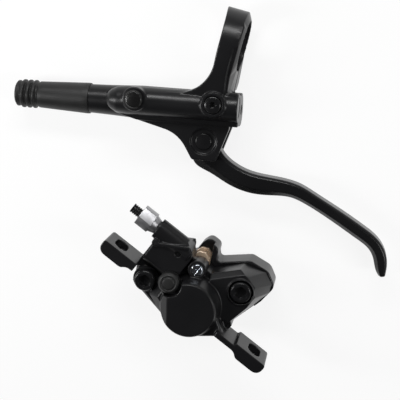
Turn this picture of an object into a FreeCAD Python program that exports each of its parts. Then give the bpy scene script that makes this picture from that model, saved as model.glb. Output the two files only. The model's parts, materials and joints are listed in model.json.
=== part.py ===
"""Hydraulic disc brake for a bicycle: a brake lever with its master cylinder, and a
post-mount caliper. Both lie on the floor as laid out in a kit, without the hose.

The row frame has X along the line between the two mounting slots, Y from the mounting
face up through the mounting bolts, and Z up from the floor along the rotor's axle.
Lever pieces are drawn in the lever's own frame: X along the master cylinder towards its
open end, Y towards the handlebar, origin at the lever's pivot on the floor.
"""
import FreeCAD, Part
import math
import os
import re

import Sketcher
from FreeCAD import Placement, Rotation, Vector

os.makedirs("parts", exist_ok=True)
doc = FreeCAD.newDocument("HydraulicDiscBrake")

# Driving sizes in millimetres and degrees
SIZES = [
    # Caliper: where the rotor, the pistons and the mounting slots are
    ("rotor_height", 15.0, "middle of the rotor above the floor"),
    ("rotor_radius", 80.0, "160 mm rotor"),
    ("rotor_clear", 1.0, "room round the rotor's rim"),
    ("mouth_gap", 2.2, "half of the gap in the castings for the rotor"),
    ("axle_reach", 74.6, "piston centre to wheel axle"),
    ("piston_x", 3.0, "piston centre from the middle of the slots"),
    ("piston_y", 3.6, "piston centre above the mounting face"),
    ("pad_turn", 27.0, "pads' own axis from the row's Y, turned back"),
    ("slot_spacing", 74.2, "post mount standard"),
    ("slot_width", 6.2, "for an M6 bolt"),
    ("slot_length", 10.0, "side adjustment of the caliper"),
    ("ear_thick", 5.8, "along the mounting bolt"),
    ("left_ear_inner", 26.6, "inner end of the left ear from the middle"),
    ("right_ear_inner", 18.6, "inner end of the right ear from the middle"),
    ("ear_outer", 44.2, "outer end of an ear from the middle"),
    ("ear_low", 4.6, "ear's near side above the rotor's middle"),
    ("ear_high", 21.5, "ear's far side above the rotor's middle"),
    ("ear_round", 3.4, "rounding of the ears' outer corners at the mounting face"),
    ("ear_bevel", 1.2, "rounding of the ears' outer corners at the bolt side"),
    ("ear_neck", 2.0, "step from the mounting face to the ear's neck"),
    ("ear_neck_end", 29.4, "neck's end from the middle"),
    ("ear_notch", 1.3, "step from the bolt side to the right ear's neck"),
    ("ear_notch_end", 27.8, "notch's end from the middle"),
    # Caliper: pistons, seals and pads
    ("piston_r", 10.5, "21 mm piston"),
    ("piston_clear", 0.05, "piston in its bore"),
    ("piston_wall", 2.4, "wall of the cup-shaped pistons"),
    ("piston_lip", 1.2, "depth of the relief round the piston's mouth"),
    ("inner_piston_long", 7.2, "length of the inner piston"),
    ("outer_piston_long", 9.0, "length of the outer piston"),
    ("bore_spare", 0.5, "room behind each piston"),
    ("seal_wide", 2.0, "square seal along the bore"),
    ("seal_deep", 1.8, "square seal across"),
    ("seal_place", 2.2, "seal from the bore's mouth"),
    ("seal_gap", 0.02, "seal to piston"),
    ("lining_gap", 1.4, "lining face from the rotor's middle"),
    ("lining_thick", 2.0, "friction lining"),
    ("plate_thick", 1.8, "pad backing plate"),
    ("pad_wide", 24.0, "pad across"),
    ("pad_below", 10.0, "pad from piston centre towards the axle"),
    ("pad_above", 9.5, "pad from piston centre away from the axle"),
    ("pad_corner", 3.0, "rounding of the pad's lower corners"),
    ("lining_wide", 22.0, "lining across"),
    ("lining_above", 5.2, "lining from piston centre away from the axle"),
    ("tab_wide", 7.0, "pad's pin tab"),
    ("tab_reach", 22.6, "tip of the tab from the piston centre"),
    ("pad_slack", 0.3, "room round the pad in its pocket"),
    ("pin_reach", 17.0, "pad pin from the piston centre"),
    ("pin_r", 1.5, "pad pin shaft"),
    ("pin_slack", 0.3, "pad tab on its pin"),
    ("pin_head_r", 2.7, "pad pin head"),
    ("pin_head_long", 3.0, "pad pin head height"),
    ("pin_end", 0.4, "pad pin tip above the floor"),
    ("clip_wire", 0.35, "pin clip wire radius"),
    ("spring_thick", 0.4, "pad spring strip"),
    ("spring_gap", 0.3, "pad spring to backing plate"),
    ("spring_wide", 6.4, "pad spring across"),
    ("spring_low", 6.0, "pad spring leg from the piston centre"),
    ("spring_high", 10.6, "pad spring back from the piston centre"),
    # Caliper: castings
    ("flange_high", 26.0, "top of the outer half's body above the floor"),
    ("block_high", 31.0, "top of the block beside the pad window"),
    ("ridge_x", -26.2, "little boss at the end of the block's ridge"),
    ("ridge_y", 17.4, "little boss at the end of the block's ridge"),
    ("ridge_boss_r", 1.7, "little boss at the end of the block's ridge"),
    ("ridge_high", 31.8, "block's ridge above the floor"),
    ("face_high", 36.5, "round blank face above the floor"),
    ("face_r", 11.8, "round blank face"),
    ("chord_turn", 216.0, "direction of the flat on the housing, from the row's X"),
    ("chord_gap", 9.2, "flat from the piston's axis at the face"),
    ("skirt_r", 14.2, "foot of the tapered piston housing"),
    ("shoulder_high", 28.5, "flat round the upper bolt, above the floor"),
    ("facet", 2.3, "bevel along the pad window"),
    ("gusset_high", 33.4, "gusset between the piston housing and the right ear"),
    ("web_high", 31.4, "front web beside the piston housing, above the floor"),
    ("pin_boss_r", 4.1, "boss round the pad pin"),
    ("pin_boss_high", 30.0, "top of the pad pin boss"),
    ("lower_bolt_x", -19.7, "lower body bolt"),
    ("lower_bolt_y", 0.1, "lower body bolt"),
    ("upper_bolt_x", 16.3, "upper body bolt"),
    ("upper_bolt_y", 22.8, "upper body bolt"),
    ("body_bolt_r", 3.0, "M6 body bolts"),
    ("bolt_slack", 0.2, "bolt in its clearance hole"),
    ("bolt_head_r", 4.7, "body bolt head"),
    ("bolt_head_high", 4.0, "body bolt head"),
    ("bolt_socket_af", 5.0, "hexagon socket across flats"),
    ("bolt_socket_deep", 2.6, "hexagon socket depth"),
    ("bolt_boss_r", 5.9, "bosses under the body bolts"),
    ("bolt_boss_high", 26.8, "seat of the lower bolt above the floor"),
    ("upper_seat", 25.0, "seat of the upper bolt's washer above the floor"),
    ("upper_ring_high", 29.4, "ring round the upper bolt, above the floor"),
    ("bolt_tip", 2.0, "tip of the body bolts above the floor"),
    ("washer_thick", 1.0, "washer of the upper bolt"),
    ("washer_r", 5.2, "washer of the upper bolt"),
    ("port_y", 22.2, "hose port axis"),
    ("port_z", 27.4, "hose port axis"),
    ("port_r", 4.8, "hose port boss"),
    ("port_left", -29.4, "outer end of the hose port boss"),
    ("port_right", -11.0, "inner end of the hose port boss"),
    ("port_bore", 2.9, "hose port bore"),
    ("port_deep", 10.0, "hose port bore depth"),
    ("nut_af", 8.6, "connector nut across flats"),
    ("nut_long", 6.6, "connector nut's hexagon"),
    ("nut_neck", 3.0, "connector nut's cone"),
    ("nut_neck_r", 3.2, "small end of the cone"),
    ("nut_hole", 2.25, "hole through the connector nut"),
    ("plug_out", 4.6, "port plug beyond the nut"),
    ("plug_deep", 9.0, "port plug inside the nut"),
    ("plug_ring", 0.3, "depth of the plug's grooves"),
    ("nipple_x", -10.9, "bleed nipple"),
    ("nipple_y", 7.6, "bleed nipple"),
    ("nipple_r", 2.5, "bleed nipple thread"),
    ("nipple_tip", 25.8, "lower end of the bleed nipple above the floor"),
    ("cap_r", 4.7, "rubber cap on the nipple"),
    ("cap_room_r", 5.9, "round seat cut for the cap"),
    ("cap_sink", 5.4, "seat of the cap below the blank face"),
    ("cap_long", 4.8, "height of the rubber cap"),
    ("cap_roof", 2.2, "rubber over the nipple"),
    ("passage_x", -15.4, "plug of the drilled passage"),
    ("passage_y", 19.4, "plug of the drilled passage"),
    ("passage_r", 1.3, "plug of the drilled passage"),
    ("passage_deep", 3.0, "plug of the drilled passage"),
    ("pin_clip_z", 0.95, "pin clip above the floor"),
    ("pin_clip_deep", 1.6, "recess for the pin clip"),
    # Lever: where its frame lies
    ("pivot_x", -37.2, "lever pivot in the row"),
    ("pivot_y", 62.9, "lever pivot in the row"),
    ("tube_turn", 34.0, "master cylinder from the row's X"),
    ("bar_turn", -11.85, "handlebar from the master cylinder"),
    # Lever: body
    ("bore_y", 14.0, "master bore from the pivot"),
    ("arm_flare", 17.0, "fillet between the clamp's arm and the reservoir"),
    ("ear_spread", 1.4, "lower ear beyond the upper one"),
    ("bore_z", 9.0, "master bore above the floor"),
    ("bore_r", 5.0, "10 mm master bore"),
    ("tube_r", 7.4, "outside of the cylinder"),
    ("tube_right", 14.6, "open end of the cylinder"),
    ("tube_waist", -44.0, "where the slim hose end starts"),
    ("tube_left", -57.0, "hose end of the cylinder"),
    ("hose_end_r", 6.4, "slim hose end"),
    ("tank_y", 15.8, "reservoir axis from the pivot"),
    ("tank_z", 20.0, "reservoir axis above the floor"),
    ("tank_r", 6.2, "outside of the reservoir"),
    ("tank_left", -44.0, "rounded end of the reservoir"),
    ("tank_cavity_r", 4.4, "reservoir cavity"),
    ("tank_cavity_left", -38.0, "reservoir cavity's blind end"),
    ("bore_left", -43.0, "blind end of the master bore"),
    ("chamber_left", -7.5, "room for the lever's nose"),
    ("chamber_right", 11.4, "room for the lever's nose"),
    ("chamber_top", 19.4, "room for the lever's nose"),
    ("ear_bottom", 1.4, "lower ear's underside"),
    ("clevis_low", 5.2, "lower side of the gap between the ears"),
    ("clevis_high", 14.8, "upper side of the gap between the ears"),
    ("nose_gap_high", 12.8, "top of the room for the nose"),
    ("ear_top", 19.0, "upper ear's face"),
    ("pivot_r", 3.0, "pivot pin"),
    ("pivot_clear", 0.05, "pivot pin in its holes"),
    ("pivot_head_r", 3.7, "pivot pin head"),
    ("pivot_recess_r", 5.7, "round recess at the pivot pin"),
    ("pivot_recess", 1.0, "depth of that recess"),
    ("pivot_tip", 0.4, "tip of the pivot pin above the floor"),
    ("clip_thick", 0.6, "pivot clip"),
    ("clip_groove", 0.6, "depth of the pivot pin's groove"),
    ("clip_r", 4.6, "outside of the pivot clip"),
    ("bar_r", 11.1, "handlebar clamp bore"),
    ("clamp_r", 14.6, "outside of the clamp ring"),
    ("clamp_wide", 10.2, "clamp along the handlebar"),
    ("clamp_reach", 43.9, "handlebar axis from the pivot"),
    ("clamp_shift", 1.5, "clamp's middle along the handlebar"),
    ("clamp_z", 14.6, "handlebar axis above the floor"),
    ("slit_low", 9.6, "slit of the clamp, lower side"),
    ("slit_high", 11.6, "slit of the clamp, upper side"),
    ("lug_long", 20.3, "handlebar axis to the free end of the clamp's lower arm"),
    ("arm_foot", 14.0, "arm's root inside the reservoir tube"),
    ("arm_foot_low", 5.2, "ring's top above the arm at the tube"),
    ("arm_neck", 13.0, "handlebar axis to the bend of the arm's top"),
    ("arm_neck_low", 2.2, "ring's top above the bend of the arm"),
    ("arm_crown", 6.4, "handlebar axis to where the arm meets the ring's top"),
    ("strip_place", 2.4, "clamp's middle line to the low strip of the arm"),
    ("strip_deep", 1.4, "low strip below the arm's top"),
    ("strip_end", 54.0, "low strip's end on the ring, up from the handlebar's plane"),
    ("clamp_bolt_gap", 4.2, "clamp bolt's axis from the handlebar bore"),
    ("clamp_bolt_r", 2.5, "M5 clamp bolt"),
    ("clamp_head_r", 4.2, "clamp bolt head"),
    ("clamp_head_high", 4.6, "clamp bolt head"),
    ("clamp_head_low", 0.6, "clamp bolt head above the floor"),
    ("clamp_bolt_top", 20.0, "tip of the clamp bolt"),
    ("clamp_socket_af", 4.0, "clamp bolt socket across flats"),
    ("bleed_x", 4.1, "bleed screw"),
    ("bleed_y", 17.0, "bleed screw"),
    ("bleed_boss_r", 5.4, "boss round the bleed screw"),
    ("bleed_boss_high", 26.6, "top of that boss"),
    ("bleed_r", 3.6, "bleed screw head"),
    ("bleed_head", 1.4, "bleed screw head height"),
    ("bleed_thread_r", 2.4, "bleed screw thread"),
    ("bleed_long", 4.0, "bleed screw thread length"),
    ("bleed_socket_af", 2.5, "bleed screw socket across flats"),
    ("port_cap_x", -30.0, "round cap near the hose end"),
    ("port_cap_y", 17.0, "round cap near the hose end"),
    ("port_cap_r", 3.9, "round cap"),
    ("port_cap_boss_r", 5.2, "boss under the round cap"),
    ("port_cap_boss_high", 26.4, "top of that boss"),
    ("port_cap_high", 28.4, "top of the round cap"),
    ("port_cap_stem", 1.7, "round cap's stem"),
    # Lever: pieces inside
    ("rod_r", 2.0, "push rod"),
    ("rod_right", -1.9, "push rod's ball end"),
    ("piston_right", -9.0, "master piston's outer end"),
    ("piston_left", -24.0, "master piston's inner end"),
    ("master_clear", 0.05, "master piston in its bore"),
    ("cup_deep", 1.4, "cup grooves of the master piston"),
    ("cup_wide", 2.2, "cup grooves of the master piston"),
    ("cup_first", -13.0, "secondary cup's groove"),
    ("cup_second", -21.6, "primary cup's groove"),
    ("cup_gap", 0.03, "cups to the bore"),
    ("coil_r", 3.4, "return spring's middle radius"),
    ("coil_wire", 0.45, "return spring's wire radius"),
    ("coil_turns", 6.0, "turns of the return spring"),
    ("hose_hole", 2.6, "hose hole"),
    ("connector_left", -63.0, "outer end of the hose connector"),
    ("connector_deep", -49.0, "inner end of the hose connector"),
    ("connector_r", 4.0, "hose connector's thread"),
    ("connector_af", 8.0, "hose connector's hexagon"),
    ("boot_left", -87.6, "hose end of the boot"),
    ("boot_rib_left", -85.0, "first rib of the boot"),
    ("boot_r", 5.9, "boot beside its ribs"),
    ("boot_rib", 0.45, "boot's ribs above its skin"),
    ("boot_mouth_r", 6.9, "boot over the cylinder's end"),
    ("boot_overlap", 3.6, "boot over the cylinder's end"),
    ("boot_pitch", 2.6, "boot's ribs"),
    ("boot_groove", 0.55, "boot's grooves below its skin"),
    ("boot_ribs", 3.0, "count of the boot's ribs"),
    ("boot_hose_r", 2.7, "boot's hose hole"),
    ("boot_neck", 10.0, "length of the boot's hose hole"),
    ("bladder_wall", 0.8, "reservoir bladder's wall"),
    ("bladder_gap", 0.2, "bladder to the reservoir"),
    ("bladder_right", 1.0, "bladder's mouth"),
    ("tank_plug_long", 3.0, "reservoir plug"),
    ("screw_r", 1.5, "reach screw"),
    ("screw_left", -1.6, "reach screw's tip"),
    ("screw_right", 7.4, "reach screw's socket end"),
    ("screw_socket_af", 1.5, "reach screw's socket"),
    ("screw_socket_deep", 2.0, "reach screw's socket"),
    ("screw_window_r", 2.2, "hole to reach the screw's socket"),
    # Lever: blade
    ("blade_low", 5.5, "underside of the blade"),
    ("blade_high", 14.5, "top of the blade"),
    ("nose_high", 12.4, "top of the blade's nose"),
    ("hub_r", 6.6, "blade's hub round the pivot"),
    ("nose_left", 1.2, "nose face behind the push rod"),
    ("nose_right", 7.0, "far face of the nose"),
    ("nose_top", 16.6, "tip of the nose"),
    ("blade_round", 2.6, "rounding along the blade's finger side"),
    ("blade_back_round", 1.0, "rounding along the blade's back"),
]

# Corners of the caliper's outlines, seen from above
OUTLINES = [
    ("flange_edge", [
        (-24.0, -5.0), (-4.0, -9.2), (1.0, -10.6), (8.3, -10.6), (22.6, 0.2), (23.0, 7.0),
        (10.0, 20.0), (0.9, 20.4), (-4.0, 21.0), (-9.6, 21.0), (-12.0, 22.0), (-25.0, 21.0),
        (-27.3, 17.0), (-27.3, 3.0), (-25.4, -1.0),
    ]),
    ("foot", [
        (1.1, 20.3), (10.6, 30.7), (20.6, 33.4), (26.2, 30.8), (27.6, 26.8), (26.2, 20.0),
        (23.2, 7.0), (10.0, 5.0),
    ]),
    ("crest", [
        (1.1, 20.3), (10.0, 30.0), (14.6, 29.8), (19.8, 28.2), (22.6, 24.4), (22.6, 18.4),
        (20.6, 8.0), (10.0, 5.0),
    ]),
    ("block", [
        (-26.6, 7.0), (-9.6, 7.0), (-9.6, 22.4), (-13.4, 26.2), (-25.0, 19.0), (-26.6, 17.0),
    ]),
    ("web", [
        (-14.4, -4.2), (-4.0, -8.4), (3.0, -9.4), (3.0, 3.0), (-9.0, 7.0), (-14.4, 4.4),
    ]),
    ("gusset", [
        (9.6, -6.4), (13.0, -4.6), (20.9, 2.0), (20.9, 4.5), (14.0, 9.0), (6.0, 3.0),
    ]),
    ("slab_edge", [
        (-23.6, -4.8), (-6.0, -9.4), (8.3, -10.2), (21.0, -2.0), (23.4, 6.0), (27.2, 21.0),
        (28.0, 30.4), (21.4, 34.2), (12.0, 33.0), (1.0, 23.0), (-1.2, 25.4), (-2.4, 28.4),
        (-8.4, 28.4), (-9.6, 24.4), (-9.6, 19.0), (-20.0, 7.0), (-25.4, 4.0),
    ]),
]
for outline, corners in OUTLINES:
    for index, (corner_x, corner_y) in enumerate(corners):
        SIZES.append(("%s_x%d" % (outline, index), corner_x, "corner of the outline"))
        SIZES.append(("%s_y%d" % (outline, index), corner_y, "corner of the outline"))

# Stations along the blade: place of the middle line, width across and direction of the line
BLADE = [
    ("root", -2.0, -3.2, 12.4, -33.0),
    ("neck", 5.4, -10.0, 10.7, -34.0),
    ("heel", 13.0, -14.8, 9.3, -24.0),
    ("belly", 22.8, -17.9, 9.0, -8.0),
    ("dip", 32.9, -18.5, 7.8, -3.0),
    ("knee", 41.1, -19.6, 6.7, -20.0),
    ("start", 48.4, -22.8, 6.1, -29.0),
    ("reach", 60.5, -29.4, 6.1, -30.5),
    ("press", 71.2, -35.8, 6.2, -32.0),
    ("bend", 77.4, -40.4, 6.0, -46.0),
    ("hook", 80.5, -45.8, 5.9, -66.0),
    ("end", 81.4, -50.6, 5.0, -80.0),
    ("tip", 82.2, -54.0, 2.8, -78.0),
]
for station, line_x, line_y, across, turn in BLADE:
    SIZES.append(("blade_" + station + "_x", line_x, "blade's middle line"))
    SIZES.append(("blade_" + station + "_y", line_y, "blade's middle line"))
    SIZES.append(("blade_" + station + "_wide", across, "blade across"))
    SIZES.append(("blade_" + station + "_turn", turn, "blade's direction"))

sizes = doc.addObject("Spreadsheet::Sheet", "Sizes")
for row, (alias, value, meaning) in enumerate(SIZES, start=1):
    sizes.set("A%d" % row, alias)
    sizes.set("B%d" % row, str(value))
    sizes.setAlias("B%d" % row, alias)
    sizes.set("C%d" % row, meaning)
doc.recompute()

ALIASES = {alias for alias, value, meaning in SIZES}
NODES = []


def bound(expression):
    """Write each alias in an expression as a cell of the sheet."""
    def cell(match):
        word = match.group(0)
        return "Sizes." + word if word in ALIASES else word
    return re.sub(r"[a-z_][a-z0-9_]*", cell, str(expression))


def size(expression):
    """Work out an expression of aliases."""
    return float(sizes.evalExpression(bound(expression)))


def new_body(name):
    body = doc.addObject("PartDesign::Body", name)
    body.Label = name
    NODES.append(body)
    return body


def origin_plane(body, role):
    return [item for item in body.Origin.OriginFeatures if item.Role == role][0]


def new_sketch(body, name, role="XY_Plane", lift=0, shift_x=0, shift_y=0, turn=0, about=Vector(0, 0, 1)):
    """Sketch on an origin plane of its body, lifted along the plane's normal."""
    sketch = body.newObject("Sketcher::SketchObject", name)
    sketch.AttachmentSupport = [(origin_plane(body, role), "")]
    sketch.MapMode = "FlatFace"
    base = Vector(size(shift_x), size(shift_y), size(lift))
    sketch.AttachmentOffset = Placement(base, Rotation(about, size(turn)))
    for axis, expression in (("x", shift_x), ("y", shift_y), ("z", lift)):
        sketch.setExpression("AttachmentOffset.Base." + axis, bound(expression))
    if turn != 0:
        sketch.setExpression("AttachmentOffset.Rotation.Angle", bound(turn))
    return sketch


def fix_point(sketch, geometry, point, x, y):
    """Bind a point of the sketch to two expressions."""
    for kind, expression in (("DistanceX", x), ("DistanceY", y)):
        index = sketch.addConstraint(
            Sketcher.Constraint(kind, -1, 1, geometry, point, size(expression)))
        sketch.setExpression("Constraints[%d]" % index, bound(expression))


def polygon(sketch, corners):
    """Closed outline through corners given as pairs of expressions."""
    spots = [Vector(size(x), size(y), 0) for x, y in corners]
    count = len(spots)
    first = sketch.GeometryCount
    for index in range(count):
        sketch.addGeometry(Part.LineSegment(spots[index], spots[(index + 1) % count]), False)
    for index in range(count):
        sketch.addConstraint(Sketcher.Constraint(
            "Coincident", first + index, 2, first + (index + 1) % count, 1))
    for index, (x, y) in enumerate(corners):
        fix_point(sketch, first + index, 1, x, y)


def corners_of(outline):
    """Corners of a named outline, as pairs of aliases."""
    count = len(dict(OUTLINES)[outline])
    return [("%s_x%d" % (outline, index), "%s_y%d" % (outline, index)) for index in range(count)]


def rounded(outline, radii):
    """Corners of a named outline that get a fillet, with their radii."""
    return [corners_of(outline)[index] + (radius,) for index, radius in radii]


def circle(sketch, x, y, radius):
    centre = Vector(size(x), size(y), 0)
    index = sketch.addGeometry(Part.Circle(centre, Vector(0, 0, 1), size(radius)), False)
    fix_point(sketch, index, 3, x, y)
    limit = sketch.addConstraint(Sketcher.Constraint("Radius", index, size(radius)))
    sketch.setExpression("Constraints[%d]" % limit, bound(radius))


def rectangle(sketch, left, low, right, high):
    polygon(sketch, [(left, low), (right, low), (right, high), (left, high)])


def hexagon(sketch, x, y, across_flats):
    corners = []
    for step in range(6):
        turn = 60 * step
        corners.append(("%s + %s / 2 / cos(30) * cos(%d)" % (x, across_flats, turn),
                        "%s + %s / 2 / cos(30) * sin(%d)" % (y, across_flats, turn)))
    polygon(sketch, corners)


def pad(body, sketch, length, taper=0):
    feature = body.newObject("PartDesign::Pad", sketch.Name + "_pad")
    feature.Profile = sketch
    feature.setExpression("Length", bound(length))
    if taper != 0:
        feature.setExpression("TaperAngle", bound(taper))
    sketch.Visibility = False
    return feature


def cut_down(body, sketch, depth):
    """Pocket from the sketch against its normal. The solid must lose volume."""
    doc.recompute()
    before = body.Shape.Volume
    feature = body.newObject("PartDesign::Pocket", sketch.Name + "_cut")
    feature.Profile = sketch
    feature.setExpression("Length", bound(depth))
    doc.recompute()
    if body.Shape.Volume >= before:
        raise RuntimeError(sketch.Name + " cuts nothing")
    return feature


def revolve(body, sketch, axis="V_Axis"):
    feature = body.newObject("PartDesign::Revolution", sketch.Name + "_turned")
    feature.Profile = sketch
    feature.ReferenceAxis = (sketch, [axis])
    feature.Angle = 360
    return feature


def groove(body, sketch, axis="V_Axis"):
    """Turned cut. The solid must lose volume."""
    doc.recompute()
    before = body.Shape.Volume
    feature = body.newObject("PartDesign::Groove", sketch.Name + "_groove")
    feature.Profile = sketch
    feature.ReferenceAxis = (sketch, [axis])
    feature.Angle = 360
    doc.recompute()
    if body.Shape.Volume >= before:
        raise RuntimeError(sketch.Name + " cuts nothing")
    return feature


def edges_where(shape, test):
    """Names of the edges whose middle passes a test."""
    names = []
    for index, edge in enumerate(shape.Edges, start=1):
        middle = edge.valueAt((edge.FirstParameter + edge.LastParameter) / 2)
        if test(edge, middle):
            names.append("Edge%d" % index)
    return names


def soften(body, base, radius, test, kind="Fillet"):
    """Fillet or chamfer on the edges of a feature that pass a test."""
    doc.recompute()
    names = edges_where(base.Shape, test)
    feature = body.newObject("PartDesign::" + kind, base.Name + "_" + kind.lower())
    feature.Base = (base, names)
    feature.setExpression("Radius" if kind == "Fillet" else "Size", bound(radius))
    return feature


def round_corners(body, base, corners):
    """Fillets on the upright edges of a pad, at corners given as place and radius."""
    feature = base
    for x, y, radius in corners:
        spot_x = size(x)
        spot_y = size(y)
        feature = soften(
            body, feature, radius,
            lambda edge, at: math.hypot(at.x - spot_x, at.y - spot_y) < 0.01 and edge.BoundBox.ZLength > 1)
    doc.recompute()
    return feature


def turned(name, corners):
    """Piece turned about its own Z, from pairs of radius and height."""
    body = new_body(name)
    sketch = new_sketch(body, name + "_section", "XZ_Plane")
    polygon(sketch, corners)
    revolve(body, sketch)
    return body


def ring(name, inner, outer, low, high):
    return turned(name, [(inner, low), (outer, low), (outer, high), (inner, high)])


def socket(body, name, across_flats, top, depth):
    sketch = new_sketch(body, name, lift=top)
    hexagon(sketch, "0", "0", across_flats)
    cut_down(body, sketch, depth)


def put_in_row(body, x, y, z="0", turn="0"):
    body.Placement = Placement(Vector(size(x), size(y), size(z)), Rotation(Vector(0, 0, 1), size(turn)))
    for axis, expression in (("x", x), ("y", y), ("z", z)):
        body.setExpression("Placement.Base." + axis, bound(expression))


def put_on_lever(body, x="0", y="0", z="0", turn="0", tilt=None):
    """Place a piece that is drawn in, or square to, the lever's frame."""
    row_x = "pivot_x + (%s) * cos(tube_turn) - (%s) * sin(tube_turn)" % (x, y)
    row_y = "pivot_y + (%s) * sin(tube_turn) + (%s) * cos(tube_turn)" % (x, y)
    put_in_row(body, row_x, row_y, z, turn="tube_turn + %s" % turn)
    if tilt is not None:
        body.Placement = Placement(body.Placement.Base, body.Placement.Rotation.multiply(tilt))


ALONG_TUBE = Rotation(Vector(0, 1, 0), 90)
TOWARDS_HOSE = Rotation(Vector(0, 1, 0), -90)


# Caliper: places shared by both halves
AXLE_X = "(piston_x + axle_reach * sin(pad_turn))"
AXLE_Y = "(piston_y - axle_reach * cos(pad_turn))"
PIN_X = "(piston_x - pin_reach * sin(pad_turn))"
PIN_Y = "(piston_y + pin_reach * cos(pad_turn))"
OUTER_PLATE = "(rotor_height + lining_gap + lining_thick)"
OUTER_PISTON = "(rotor_height + lining_gap + lining_thick + plate_thick)"
INNER_PLATE = "(rotor_height - lining_gap - lining_thick - plate_thick)"
OUTER_POCKET = "(rotor_height + lining_gap + lining_thick + plate_thick + pad_slack)"
INNER_POCKET = "(rotor_height - lining_gap - lining_thick - plate_thick - pad_slack)"


def pad_frame(body):
    """Pads, spring and their pocket are drawn square to the pads' own axis."""
    put_in_row(body, "piston_x", "piston_y", turn="pad_turn")


def pad_spot(across, away):
    """Point of the pads' own frame, in the row."""
    return ("piston_x + (%s) * cos(pad_turn) - (%s) * sin(pad_turn)" % (across, away),
            "piston_y + (%s) * sin(pad_turn) + (%s) * cos(pad_turn)" % (across, away))


def pad_pocket(body, name, top, depth):
    """Pocket for a pad: open towards the axle, with a slot for the tab away from it."""
    side = "(pad_wide / 2 + pad_slack)"
    slot = "(tab_wide / 2 + pad_slack)"
    roof = "(pad_above + pad_slack)"
    corners = [pad_spot("-" + side, "-40"), pad_spot(side, "-40"), pad_spot(side, roof),
               pad_spot(slot, roof), pad_spot(slot, "40"), pad_spot("-" + slot, "40"),
               pad_spot("-" + slot, roof), pad_spot("-" + side, roof)]
    sketch = new_sketch(body, name, lift=top)
    polygon(sketch, corners)
    cut_down(body, sketch, depth)


def drill(body, name, x, y, radius, top, depth):
    sketch = new_sketch(body, name, lift=top)
    circle(sketch, x, y, radius)
    cut_down(body, sketch, depth)


def boss(body, name, x, y, radius, low, high, taper=0):
    sketch = new_sketch(body, name, lift=low)
    circle(sketch, x, y, radius)
    return pad(body, sketch, "(%s) - (%s)" % (high, low), taper)


def slot_cut(body, name, side):
    """Slot through an ear, long way along Z."""
    middle = "%s * slot_spacing / 2" % side
    height = "rotor_height + (ear_low + ear_high) / 2"
    half = "(slot_length - slot_width) / 2"
    low = new_sketch(body, name + "_foot", "XZ_Plane", lift="-2 * ear_thick")
    circle(low, middle, height + " - " + half, "slot_width / 2")
    high = new_sketch(body, name + "_top", "XZ_Plane", lift="-2 * ear_thick")
    circle(high, middle, height + " + " + half, "slot_width / 2")
    box = new_sketch(body, name + "_middle", "XZ_Plane", lift="-2 * ear_thick")
    rectangle(box, middle + " - slot_width / 2", height + " - " + half,
              middle + " + slot_width / 2", height + " + " + half)
    for sketch in (low, high, box):
        cut = body.newObject("PartDesign::Pocket", sketch.Name + "_cut")
        cut.Profile = sketch
        cut.Midplane = True
        cut.setExpression("Length", bound("8 * ear_thick"))


def ear(body, name, side, corners):
    """Mounting ear: a plate along Y with a neck, rounded ends and a slot."""
    sketch = new_sketch(body, name, lift="rotor_height + ear_low")
    polygon(sketch, [("%s * (%s)" % (side, x), y) for x, y in corners])
    plate = pad(body, sketch, "ear_high - ear_low")
    outer = "%s * ear_outer" % side
    round_corners(body, plate, [
        (outer, "0", "ear_round"), (outer, "ear_thick", "ear_bevel"),
        ("%s * ear_neck_end" % side, "ear_neck", "2 * ear_neck"),
        ("%s * (ear_neck_end + 1.2 * ear_neck)" % side, "0", "ear_neck")])
    slot_cut(body, name + "_slot", side)


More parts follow.
